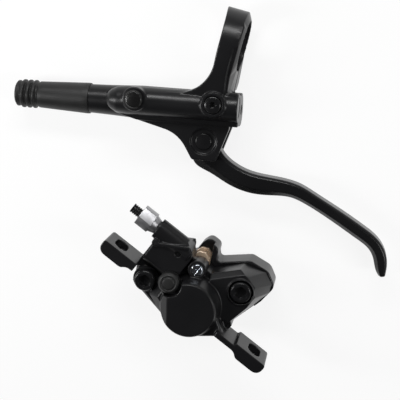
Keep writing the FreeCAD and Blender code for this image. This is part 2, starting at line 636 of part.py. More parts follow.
def caliper_outer_half():
    body = new_body("caliper_outer_half")
    flange_edge = new_sketch(body, "outer_outline", lift="rotor_height")
    polygon(flange_edge, corners_of("flange_edge"))
    flange = pad(body, flange_edge, "flange_high - rotor_height")
    soft = round_corners(body, flange, rounded("flange_edge", [
        (3, "9"), (2, "6"), (4, "2"), (12, "3")]))
    soften(body, soft, "1.2",
           lambda edge, at: abs(at.z - size("flange_high")) < 0.01 and at.y < 6, "Chamfer")
    foot = new_sketch(body, "lobe_foot", lift="rotor_height")
    polygon(foot, corners_of("foot"))
    crest = new_sketch(body, "lobe_crest", lift="shoulder_high")
    polygon(crest, corners_of("crest"))
    lobe = body.newObject("PartDesign::AdditiveLoft", "upper_lobe")
    lobe.Profile = foot
    lobe.Sections = [crest]
    lobe.Ruled = True
    doc.recompute()
    line_x = (size("1.1") + size("10.0")) / 2
    line_y = (size("20.3") + size("30.0")) / 2
    soften(body, lobe, "facet",
           lambda edge, at: abs(at.x - line_x) < 0.1 and abs(at.y - line_y) < 0.1
           and abs(at.z - size("shoulder_high")) < 0.01, "Chamfer")
    block = new_sketch(body, "outer_block", lift="rotor_height + mouth_gap")
    polygon(block, corners_of("block"))
    upper = pad(body, block, "block_high - rotor_height - mouth_gap")
    front = soften(body, upper, "3.0",
                   lambda edge, at: abs(at.z - size("block_high")) < 0.01 and abs(at.y - 7.0) < 0.01)
    soften(body, front, "0.8",
           lambda edge, at: abs(at.z - size("block_high")) < 0.01 and at.y > 18)
    bar = new_sketch(body, "block_ridge", lift="flange_high")
    polygon(bar, [("ridge_x", "ridge_y"), ("ridge_x + 0.55", "ridge_y - 0.9"), ("-12.8", "24.6"), ("-13.4", "25.6")])
    pad(body, bar, "ridge_high - flange_high")
    boss(body, "ridge_boss", "ridge_x", "ridge_y", "ridge_boss_r", "rotor_height + 4", "ridge_high + 0.4")
    web = new_sketch(body, "front_web", lift="rotor_height + mouth_gap")
    polygon(web, corners_of("web"))
    rib = pad(body, web, "web_high - rotor_height - mouth_gap")
    soften(body, rib, "3.6",
           lambda edge, at: abs(at.z - size("web_high")) < 0.01 and at.y < 6
           and (at.y < -5 or at.x < -14), "Chamfer")
    gusset = new_sketch(body, "ear_gusset", lift="rotor_height + ear_low")
    polygon(gusset, corners_of("gusset"))
    filler = pad(body, gusset, "gusset_high - rotor_height - ear_low")
    soften(body, filler, "1.4",
           lambda edge, at: abs(at.z - size("gusset_high")) < 0.01 and at.x > 10)
    boss(body, "piston_skirt", "piston_x", "piston_y", "skirt_r", "rotor_height + 5", "flange_high")
    cone = new_sketch(body, "piston_cone", "XZ_Plane", lift="-piston_y", shift_x="piston_x")
    polygon(cone, [("0", "flange_high - 1"), ("skirt_r", "flange_high - 1"), ("skirt_r", "flange_high"),
                   ("face_r + 0.4", "face_high - 1.2"), ("face_r", "face_high - 0.3"),
                   ("face_r - 0.4", "face_high"), ("0", "face_high")])
    revolve(body, cone)
    chord = new_sketch(body, "housing_flat", "XZ_Plane", lift="-piston_y", shift_x="piston_x",
                       turn="chord_turn", about=Vector(0, 1, 0))
    polygon(chord, [("chord_gap", "face_high + 1"), ("chord_gap", "face_high"), ("skirt_r", "web_high"),
                    ("skirt_r + 6", "web_high"), ("skirt_r + 6", "face_high + 1")])
    flat = body.newObject("PartDesign::Pocket", "housing_flat_cut")
    flat.Profile = chord
    flat.Midplane = True
    flat.setExpression("Length", bound("2 * face_r"))
    boss(body, "lower_bolt_boss", "lower_bolt_x", "lower_bolt_y", "bolt_boss_r", "rotor_height", "bolt_boss_high")
    boss(body, "upper_bolt_boss", "upper_bolt_x", "upper_bolt_y", "bolt_boss_r",
         "rotor_height + 4", "upper_ring_high")
    boss(body, "pad_pin_boss", PIN_X, PIN_Y, "pin_boss_r", OUTER_POCKET, "pin_boss_high")
    port = new_sketch(body, "hose_port", "YZ_Plane", lift="port_left")
    circle(port, "port_y", "port_z", "port_r")
    pad(body, port, "port_right - port_left")
    ear(body, "left_ear", "-1", [
        ("left_ear_inner", "ear_neck"), ("ear_neck_end", "ear_neck"), ("ear_neck_end + 1.2 * ear_neck", "0"),
        ("ear_outer", "0"), ("ear_outer", "ear_thick"), ("left_ear_inner", "ear_thick")])
    ear(body, "right_ear", "1", [
        ("right_ear_inner", "ear_neck"), ("ear_neck_end", "ear_neck"), ("ear_neck_end + 1.2 * ear_neck", "0"),
        ("ear_outer", "0"), ("ear_outer", "ear_thick"), ("ear_notch_end + 0.6", "ear_thick"),
        ("ear_notch_end", "ear_thick - ear_notch"), ("right_ear_inner", "ear_thick - ear_notch")])
    drill(body, "cap_room", "nipple_x", "nipple_y", "cap_room_r", "face_high + 1", "cap_sink + 1")
    drill(body, "upper_seat_cut", "upper_bolt_x", "upper_bolt_y", "washer_r + 0.2", "upper_ring_high + 1",
          "upper_ring_high + 1 - upper_seat")
    mouth = new_sketch(body, "outer_mouth", lift="rotor_height + mouth_gap")
    circle(mouth, AXLE_X, AXLE_Y, "rotor_radius + rotor_clear")
    cut_down(body, mouth, "2 * mouth_gap")
    pad_pocket(body, "outer_pad_pocket", OUTER_POCKET, "20")
    drill(body, "outer_bore", "piston_x", "piston_y", "piston_r + piston_clear",
          OUTER_PISTON + " + outer_piston_long + bore_spare", "30")
    seal = OUTER_POCKET + " + seal_place"
    drill(body, "outer_seal_groove", "piston_x", "piston_y", "piston_r + seal_gap + seal_deep",
          seal + " + seal_wide", "seal_wide")
    for place in ("lower", "upper"):
        drill(body, place + "_bolt_hole", place + "_bolt_x", place + "_bolt_y",
              "body_bolt_r + bolt_slack", "face_high", "face_high")
    drill(body, "outer_pin_hole", PIN_X, PIN_Y, "pin_r + 0.05", "face_high", "face_high")
    drill(body, "pin_head_room", PIN_X, PIN_Y, "pin_head_r + 0.1", "face_high",
          "face_high - pin_boss_high + pin_head_long - 0.6")
    drill(body, "nipple_hole", "nipple_x", "nipple_y", "nipple_r", "face_high - cap_sink + 1",
          "face_high - cap_sink + 1.2 - nipple_tip")
    drill(body, "dimple", "passage_x", "passage_y", "passage_r", "face_high", "face_high - block_high + passage_deep")
    port_hole = new_sketch(body, "hose_port_hole", "YZ_Plane", lift="port_left")
    circle(port_hole, "port_y", "port_z", "port_bore")
    hole = body.newObject("PartDesign::Pocket", "hose_port_bore")
    hole.Profile = port_hole
    hole.Reversed = True
    hole.setExpression("Length", bound("port_deep"))


def caliper_inner_half():
    body = new_body("caliper_inner_half")
    slab_edge = new_sketch(body, "inner_outline")
    polygon(slab_edge, corners_of("slab_edge"))
    slab = pad(body, slab_edge, "rotor_height")
    soft = round_corners(body, slab, rounded("slab_edge", [
        (2, "9"), (1, "6"), (3, "6"), (6, "4"),
        (7, "5"), (8, "3"), (9, "1.6"), (11, "2.8"),
        (12, "2.8"), (16, "4"), (0, "5")]))
    soften(body, soft, "1.6", lambda edge, at: abs(at.z) < 0.01, "Chamfer")
    mouth = new_sketch(body, "inner_mouth", lift="rotor_height + mouth_gap")
    circle(mouth, AXLE_X, AXLE_Y, "rotor_radius + rotor_clear")
    cut_down(body, mouth, "2 * mouth_gap")
    pad_pocket(body, "inner_pad_pocket", "rotor_height + 1", "rotor_height + 1 - " + INNER_POCKET)
    drill(body, "inner_bore", "piston_x", "piston_y", "piston_r + piston_clear", "rotor_height",
          "rotor_height - (" + INNER_PLATE + " - inner_piston_long - bore_spare)")
    drill(body, "inner_seal_groove", "piston_x", "piston_y", "piston_r + seal_gap + seal_deep",
          INNER_POCKET + " - seal_place", "seal_wide")
    for place in ("lower", "upper"):
        drill(body, place + "_bolt_thread", place + "_bolt_x", place + "_bolt_y",
              "body_bolt_r", "rotor_height", "rotor_height - bolt_tip + 0.3")
    drill(body, "inner_pin_hole", PIN_X, PIN_Y, "pin_r + 0.05", "rotor_height", "rotor_height")
    drill(body, "pin_clip_room", PIN_X, PIN_Y, "pin_r + 1.6", "pin_clip_deep", "pin_clip_deep")


def pistons():
    """Cup-shaped pistons, open towards their pads."""
    wall = "piston_r - piston_wall"
    for name, length in (("inner_piston", "inner_piston_long"), ("outer_piston", "outer_piston_long")):
        body = turned(name, [
            ("0", "0"), ("piston_r - 0.5", "0"), ("piston_r", "0.5"), ("piston_r", length + " - piston_lip"),
            ("piston_r - 0.6", length + " - piston_lip"), ("piston_r - 0.6", length),
            (wall, length), (wall, "piston_wall"), ("0", "piston_wall")])
        if name == "inner_piston":
            put_in_row(body, "piston_x", "piston_y", INNER_PLATE + " - inner_piston_long")
        else:
            base = "%s + outer_piston_long" % OUTER_PISTON
            put_in_row(body, "piston_x", "piston_y", base)
            flip = Rotation(Vector(1, 0, 0), 180)
            body.Placement = Placement(body.Placement.Base, flip)
    inner = "piston_r + seal_gap"
    outer = "piston_r + seal_gap + seal_deep"
    seal = ring("inner_piston_seal", inner, outer, "0", "seal_wide")
    put_in_row(seal, "piston_x", "piston_y", INNER_POCKET + " - seal_place - seal_wide")
    seal = ring("outer_piston_seal", inner, outer, "0", "seal_wide")
    put_in_row(seal, "piston_x", "piston_y", OUTER_POCKET + " + seal_place")


def brake_pad(side, plate_low, lining_low):
    """One pad: a backing plate with a pin tab, and its lining."""
    plate = new_body(side + "_pad_plate")
    outline = new_sketch(plate, side + "_plate_outline")
    half = "pad_wide / 2"
    tab = "tab_wide / 2"
    corner = "pad_corner"
    polygon(outline, [
        ("-" + half + " + " + corner, "-pad_below"), (half + " - " + corner, "-pad_below"),
        (half, "-pad_below + " + corner), (half, "pad_above"), (tab, "pad_above"),
        (tab, "tab_reach - 2"), (tab + " - 2", "tab_reach"), ("-" + tab + " + 2", "tab_reach"),
        ("-" + tab, "tab_reach - 2"), ("-" + tab, "pad_above"), ("-" + half, "pad_above"),
        ("-" + half, "-pad_below + " + corner)])
    circle(outline, "0", "pin_reach", "pin_r + pin_slack")
    pad(plate, outline, "plate_thick")
    put_in_row(plate, "piston_x", "piston_y", plate_low, turn="pad_turn")
    lining = new_body(side + "_pad_lining")
    face = new_sketch(lining, side + "_lining_outline")
    wide = "lining_wide / 2"
    polygon(face, [
        ("-" + wide + " + 3", "-pad_below + 0.6"), (wide + " - 3", "-pad_below + 0.6"),
        (wide, "-pad_below + 3.6"), (wide, "lining_above"), ("-" + wide, "lining_above"),
        ("-" + wide, "-pad_below + 3.6")])
    pad(lining, face, "lining_thick")
    put_in_row(lining, "piston_x", "piston_y", lining_low, turn="pad_turn")


def pad_spring():
    """Bent strip that pushes the two backing plates apart."""
    body = new_body("pad_spring")
    section = new_sketch(body, "pad_spring_section", "YZ_Plane", lift="-spring_wide / 2")
    low = "rotor_height - lining_gap - lining_thick + spring_gap"
    high = "rotor_height + lining_gap + lining_thick - spring_gap"
    polygon(section, [
        ("spring_low", low), ("spring_high", low), ("spring_high", high), ("spring_low", high),
        ("spring_low", high + " - spring_thick"), ("spring_high - spring_thick", high + " - spring_thick"),
        ("spring_high - spring_thick", low + " + spring_thick"), ("spring_low", low + " + spring_thick")])
    pad(body, section, "spring_wide")
    pad_frame(body)


def pad_pin():
    head = "pin_boss_high + 0.4"
    shoulder = "pin_boss_high - pin_head_long + 0.6"
    pin = turned("pad_pin", [
        ("0", "pin_end"), ("pin_r", "pin_end"), ("pin_r", "pin_clip_z - clip_wire"),
        ("pin_r - 0.4", "pin_clip_z - clip_wire"), ("pin_r - 0.4", "pin_clip_z + clip_wire"),
        ("pin_r", "pin_clip_z + clip_wire"), ("pin_r", shoulder), ("pin_head_r", shoulder),
        ("pin_head_r", head + " - 0.5"), ("pin_head_r - 0.5", head), ("0", head)])
    slot = new_sketch(pin, "pin_slot", lift=head)
    rectangle(slot, "-0.5", "-pin_head_r - 1", "0.5", "pin_head_r + 1")
    cut_down(pin, slot, "0.9")
    put_in_row(pin, PIN_X, PIN_Y)
    clip = ring("pad_pin_clip", "pin_r - 0.38", "pin_r + 0.9", "-clip_wire", "clip_wire")
    put_in_row(clip, PIN_X, PIN_Y, "pin_clip_z")


def body_bolt(name, place, seat):
    tip = "bolt_tip - (%s)" % seat
    bolt = turned(name, [
        ("0", tip), ("body_bolt_r - 0.6", tip), ("body_bolt_r", tip + " + 0.6"), ("body_bolt_r", "0"),
        ("bolt_head_r", "0"), ("bolt_head_r", "bolt_head_high - 0.6"),
        ("bolt_head_r - 0.6", "bolt_head_high"), ("0", "bolt_head_high")])
    socket(bolt, name + "_socket", "bolt_socket_af", "bolt_head_high", "bolt_socket_deep")
    put_in_row(bolt, place + "_bolt_x", place + "_bolt_y", seat)


def caliper_fittings():
    body_bolt("body_bolt_lower", "lower", "bolt_boss_high")
    body_bolt("body_bolt_upper", "upper", "upper_seat + washer_thick")
    washer = ring("upper_bolt_washer", "body_bolt_r + bolt_slack", "washer_r", "0", "washer_thick")
    put_in_row(washer, "upper_bolt_x", "upper_bolt_y", "upper_seat")
    seat = "(face_high - cap_sink)"
    top = "(face_high - cap_sink + cap_long)"
    nipple = turned("bleed_nipple", [
        ("0", "nipple_tip"), ("1.2", "nipple_tip"), ("nipple_r", "nipple_tip + 1.3"), ("nipple_r", seat),
        ("1.9", seat + " + 0.4"), ("1.9", top + " - cap_roof - 0.8"), ("1.5", top + " - cap_roof"),
        ("0", top + " - cap_roof")])
    put_in_row(nipple, "nipple_x", "nipple_y")
    cap = turned("nipple_cap", [
        ("nipple_r + 0.3", seat), ("cap_r", seat), ("cap_r", top + " - 1.2"),
        ("cap_r - 0.9", top + " - 0.2"), ("cap_r - 1.5", top + " - 0.2"), ("cap_r - 1.8", top + " - 0.7"),
        ("cap_r - 2.3", top), ("0", top), ("0", top + " - cap_roof + 0.2"),
        ("nipple_r + 0.3", top + " - cap_roof + 0.2")])
    put_in_row(cap, "nipple_x", "nipple_y")
    nut = new_body("connector_nut")
    flats = new_sketch(nut, "nut_flats", lift="nut_neck")
    hexagon(flats, "0", "0", "nut_af")
    pad(nut, flats, "nut_long")
    cone = new_sketch(nut, "nut_cone", "XZ_Plane")
    polygon(cone, [("0", "0"), ("nut_neck_r", "0"), ("nut_af / 2 - 0.2", "nut_neck"), ("0", "nut_neck")])
    revolve(nut, cone)
    shank = new_sketch(nut, "nut_shank", lift="-port_deep + 2")
    circle(shank, "0", "0", "port_bore - 0.05")
    pad(nut, shank, "port_deep - 2")
    drill(nut, "nut_through", "0", "0", "nut_hole", "nut_neck + nut_long", "nut_neck + nut_long + port_deep - 2")
    put_in_row(nut, "port_left", "port_y", "port_z")
    nut.Placement = Placement(nut.Placement.Base, TOWARDS_HOSE)
    rings = []
    start = "nut_neck + nut_long"
    for step in range(4):
        foot = "%s + %s" % (start, 0.4 + 1.0 * step)
        rings.extend([("nut_hole - 0.05", foot), ("nut_hole - 0.05 - plug_ring", foot + " + 0.1"),
                      ("nut_hole - 0.05 - plug_ring", foot + " + 0.5"), ("nut_hole - 0.05", foot + " + 0.6")])
    plug = turned("port_plug", [("0", start + " - plug_deep"), ("nut_hole - 0.05", start + " - plug_deep")]
                  + rings + [("nut_hole - 0.05", start + " + plug_out"), ("0", start + " + plug_out")])
    put_in_row(plug, "port_left", "port_y", "port_z")
    plug.Placement = Placement(plug.Placement.Base, TOWARDS_HOSE)
    stud = turned("passage_plug", [("0", "0"), ("passage_r - 0.05", "0"), ("passage_r - 0.05", "passage_deep - 0.5"),
                                   ("0", "passage_deep - 0.5")])
    put_in_row(stud, "passage_x", "passage_y", "block_high - passage_deep")


def bar_sketch(body, name, place):
    """Sketch square to the handlebar, at a place along it. Its X runs to the bar, its Y up."""
    along = "(%s)" % place
    return new_sketch(body, name, "YZ_Plane", lift=along + " * cos(bar_turn)",
                      shift_x=along + " * sin(bar_turn)", turn="bar_turn", about=Vector(0, 1, 0))


def bar_spot(along, away):
    """Point of the handlebar's frame, in the lever's."""
    return ("(%s) * cos(bar_turn) - (%s) * sin(bar_turn)" % (along, away),
            "(%s) * sin(bar_turn) + (%s) * cos(bar_turn)" % (along, away))


def clamp_arm(body):
    """Arm and ring of the handlebar clamp, with its slit and lower arm."""
    left = "(clamp_shift - clamp_wide / 2)"
    right = "(clamp_shift + clamp_wide / 2)"
    top = "(clamp_z + clamp_r)"
    corner_y = "tank_y + tank_r - 1.2"
    corner = ("(%s * cos(bar_turn) - (%s - (%s) * sin(bar_turn)) / cos(bar_turn) * sin(bar_turn))"
              % (left, corner_y, left), corner_y)
    plan = new_sketch(body, "arm_plan", lift="slit_high")
    polygon(plan, [
        bar_spot(right, "arm_foot"), bar_spot(right, "clamp_reach"), bar_spot(left, "clamp_reach"), corner,
        (corner[0] + " - arm_flare", corner_y), (corner[0] + " - arm_flare", "tank_y")])
    arm = pad(body, plan, top + " - slit_high")
    round_corners(body, arm, [(corner[0], corner_y, "arm_flare")])
    profile = bar_sketch(body, "arm_profile", "clamp_shift + 40")
    outline = [
        ("0", top + " - arm_foot_low"), ("arm_foot + 4", top + " - arm_foot_low"),
        ("clamp_reach - arm_neck", top + " - arm_neck_low"), ("clamp_reach - arm_crown", top + " - 0.9"),
        ("clamp_reach + 0.1", top + " + 0.1")]
    polygon(profile, outline + [("clamp_reach + 0.1", top + " + 9"), ("0", top + " + 9")])
    cut_down(body, profile, "80")
    root = bar_sketch(body, "arm_root", left)
    rectangle(root, "arm_foot", "slit_low - 4", "clamp_reach - lug_long - 1.4", "slit_high")
    pad(body, root, "clamp_wide")
    lug = bar_sketch(body, "lug_side", left)
    polygon(lug, [
        ("clamp_reach - lug_long", "clamp_head_low + 1.4"), ("clamp_reach - lug_long + 3", "0"),
        ("clamp_reach", "0"), ("clamp_reach", "slit_low"), ("clamp_reach - lug_long", "slit_low")])
    pad(body, lug, "clamp_wide")
    band = bar_sketch(body, "clamp_ring", left)
    circle(band, "clamp_reach", "clamp_z", "clamp_r")
    pad(body, band, "clamp_wide")
    strip = bar_sketch(body, "strip_profile", right + " + 1")
    lowered = [(x, "%s - strip_deep" % z) for x, z in outline[:3]]
    rim = []
    for share in ("0", "1 / 3", "2 / 3", "1"):
        turn = "(90 - (90 - strip_end) * %s)" % share
        rim.append(("clamp_reach + (clamp_r - strip_deep) * cos(%s)" % turn,
                    "clamp_z + (clamp_r - strip_deep) * sin(%s)" % turn))
    polygon(strip, lowered + rim + [
        ("clamp_reach + (clamp_r + 1) * cos(strip_end)", "clamp_z + (clamp_r + 1) * sin(strip_end)"),
        ("clamp_reach + clamp_r", top + " + 9"), ("0", top + " + 9")])
    cut_down(body, strip, "clamp_wide / 2 + 1 - strip_place")
    hole = bar_sketch(body, "clamp_bore", right + " + 1")
    circle(hole, "clamp_reach", "clamp_z", "bar_r")
    cut_down(body, hole, "clamp_wide + 2")
    slit = bar_sketch(body, "clamp_slit", right + " + 1")
    rectangle(slit, "clamp_reach - lug_long - 1.4", "slit_low", "clamp_reach - bar_r + 2", "slit_high")
    cut_down(body, slit, "clamp_wide + 2")


def lever_body():
    body = new_body("lever_body")
    clamp_arm(body)
    tube = new_sketch(body, "tube_section", shift_y="bore_y", lift="bore_z")
    polygon(tube, [
        ("tube_left", "0"), ("tube_left", "hose_end_r - 0.4"), ("tube_left + 0.4", "hose_end_r"),
        ("tube_left + boot_overlap + 0.3", "hose_end_r"), ("tube_waist", "hose_end_r + 0.3"),
        ("tube_waist + 14", "tube_r"), ("tube_right", "tube_r"), ("tube_right", "0")])
    revolve(body, tube, "H_Axis")
    tank = new_sketch(body, "tank_section", shift_y="tank_y", lift="tank_z")
    polygon(tank, [
        ("tank_left", "0"), ("tank_left + 0.5", "tank_r * 0.36"), ("tank_left + 2.4", "tank_r * 0.7"),
        ("tank_left + 5.4", "tank_r * 0.92"), ("tank_left + 10", "tank_r"), ("tube_right", "tank_r"),
        ("tube_right", "0")])
    revolve(body, tank, "H_Axis")
    web = new_sketch(body, "web_outline", lift="bore_z")
    polygon(web, [
        ("tube_waist + 4", "bore_y - 4"), ("tube_waist + 14", "bore_y - 6.6"), ("tube_right", "bore_y - 6.6"),
        ("tube_right", "bore_y + 6.6"), ("tube_waist + 14", "bore_y + 6.6"), ("tube_waist + 4", "bore_y + 4")])
    pad(body, web, "tank_z - bore_z")
    for name, low, high, spread in (("upper_ear", "clevis_high", "ear_top", "0"),
                                    ("lower_ear", "ear_bottom", "clevis_low", "ear_spread")):
        plate = new_sketch(body, name, lift=low)
        foot = "-8.3 - 0.4 * " + spread
        throat = ("-11.4 - " + spread, "2.6 - 0.8 * " + spread)
        polygon(plate, [
            ("tube_right - 3.7", "bore_y"), ("tube_right - 3.7", "6.2"), ("5.9", foot), ("-4.8 - " + spread, foot),
            throat, ("-31.0", "7.6"), ("-31.0", "bore_y")])
        ear_plate = pad(body, plate, "%s - %s" % (high, low))
        round_corners(body, ear_plate, [
            (throat[0], throat[1], "16"), ("5.9", foot, "0.8"), ("-4.8 - " + spread, foot, "1.2")])
    boss(body, "bleed_boss", "bleed_x", "bleed_y", "bleed_boss_r", "tank_z", "bleed_boss_high")
    boss(body, "port_cap_boss", "port_cap_x", "port_cap_y", "port_cap_boss_r", "tank_z", "port_cap_boss_high")

    chamber = new_sketch(body, "nose_room", lift="nose_gap_high")
    rectangle(chamber, "chamber_left", "-30", "chamber_right", "chamber_top")
    cut_down(body, chamber, "nose_gap_high - clevis_low")
    clevis = new_sketch(body, "clevis_gap", lift="clevis_high")
    rectangle(clevis, "-33", "-30", "20", "bore_y - tube_r + 0.2")
    cut_down(body, clevis, "clevis_high - clevis_low")
    bore_hole = new_sketch(body, "master_bore", shift_y="bore_y", lift="bore_z")
    polygon(bore_hole, [
        ("tube_left", "0"), ("tube_left", "connector_r"), ("connector_deep", "connector_r"),
        ("connector_deep", "1.2"), ("bore_left", "1.2"), ("bore_left", "bore_r"), ("chamber_left + 1", "bore_r"),
        ("chamber_left + 1", "0")])
    groove(body, bore_hole, "H_Axis")
    tank_hole = new_sketch(body, "tank_bore", shift_y="tank_y", lift="tank_z")
    polygon(tank_hole, [
        ("tank_cavity_left", "0"), ("tank_cavity_left", "tank_cavity_r"), ("tube_right", "tank_cavity_r"),
        ("tube_right", "0")])
    groove(body, tank_hole, "H_Axis")
    window = new_sketch(body, "screw_window", shift_y="bore_y", lift="bore_z")
    polygon(window, [("chamber_right - 1", "0"), ("chamber_right - 1", "screw_window_r"),
                     ("tube_right + 1", "screw_window_r"), ("tube_right + 1", "0")])
    groove(body, window, "H_Axis")
    drill(body, "pivot_hole", "0", "0", "pivot_r + pivot_clear", "ear_top", "ear_top")
    drill(body, "pivot_recess_cut", "0", "0", "pivot_recess_r", "ear_top", "pivot_recess")
    drill(body, "bleed_hole", "bleed_x", "bleed_y", "bleed_thread_r", "bleed_boss_high", "6")
    drill(body, "bleed_seat", "bleed_x", "bleed_y", "bleed_r + 0.3", "bleed_boss_high", "0.8")
    drill(body, "port_cap_hole", "port_cap_x", "port_cap_y", "port_cap_r - 1.4", "port_cap_boss_high",
          "port_cap_stem + 0.1")
    bolt_x, bolt_y = bar_spot("clamp_shift", "clamp_reach - bar_r - clamp_bolt_gap")
    drill(body, "clamp_bolt_hole", bolt_x, bolt_y, "clamp_bolt_r + 0.2", "slit_low + 0.1", "slit_low + 0.1")
    drill(body, "clamp_bolt_thread", bolt_x, bolt_y, "clamp_bolt_r", "clamp_bolt_top + 0.5",
          "clamp_bolt_top + 0.5 - slit_high + 0.1")
    drill(body, "clamp_head_seat", bolt_x, bolt_y, "clamp_head_r + 0.3", "clamp_head_low + clamp_head_high",
          "clamp_head_low + clamp_head_high")
    put_on_lever(body)
    return bolt_x, bolt_y


def lever_blade():
    """Hand lever: a hub, a nose that pushes the rod, and a lofted blade."""
    body = new_body("lever_blade")
    height = "blade_high - blade_low"
    sections = []
    for station, line_x, line_y, across, turn in BLADE:
        key = "blade_" + station
        sketch = body.newObject("Sketcher::SketchObject", key + "_section")
        sketch.AttachmentSupport = [(origin_plane(body, "YZ_Plane"), "")]
        sketch.MapMode = "FlatFace"
        sketch.AttachmentOffset = Placement(Vector(line_y, 0, line_x), Rotation(Vector(0, 1, 0), turn))
        sketch.setExpression("AttachmentOffset.Base.x", bound(key + "_y"))
        sketch.setExpression("AttachmentOffset.Base.z", bound(key + "_x"))
        sketch.setExpression("AttachmentOffset.Rotation.Angle", bound(key + "_turn"))
        half = key + "_wide / 2"
        finger = key + "_wide * 0.3"
        back = key + "_wide * 0.14"
        polygon(sketch, [
            ("-" + half + " + " + finger, "blade_low"), (half + " - " + back, "blade_low"),
            (half, "blade_low + blade_back_round"), (half, "blade_high - blade_back_round"),
            (half + " - " + back, "blade_high"), ("-" + half + " + " + finger, "blade_high"),
            ("-" + half, "blade_high - blade_round"), ("-" + half, "blade_low + blade_round")])
        sections.append(sketch)
    loft = body.newObject("PartDesign::AdditiveLoft", "blade_loft")
    loft.Profile = sections[0]
    loft.Sections = sections[1:]
    loft.Ruled = False
    doc.recompute()
    hub = new_sketch(body, "blade_hub", lift="blade_low")
    circle(hub, "0", "0", "hub_r")
    pad(body, hub, height)
    nose = new_sketch(body, "blade_nose", lift="blade_low")
    polygon(nose, [
        ("-3.4", "3.0"), ("3.4", "3.0"), ("nose_right", "bore_y - 3.0"), ("nose_right", "nose_top - 0.8"),
        ("nose_right - 0.8", "nose_top"), ("nose_left + 0.6", "nose_top"), ("nose_left", "nose_top - 0.6"),
        ("nose_left", "bore_y - 3.0")])
    pad(body, nose, "nose_high - blade_low")
    drill(body, "blade_pivot_hole", "0", "0", "pivot_r + pivot_clear", "blade_high + 1", "blade_high + 1")
    thread = new_sketch(body, "reach_thread", shift_y="bore_y", lift="bore_z")
    polygon(thread, [("nose_left - 1", "0"), ("nose_left - 1", "screw_r"), ("nose_right + 1", "screw_r"),
                     ("nose_right + 1", "0")])
    groove(body, thread, "H_Axis")
    put_on_lever(body)


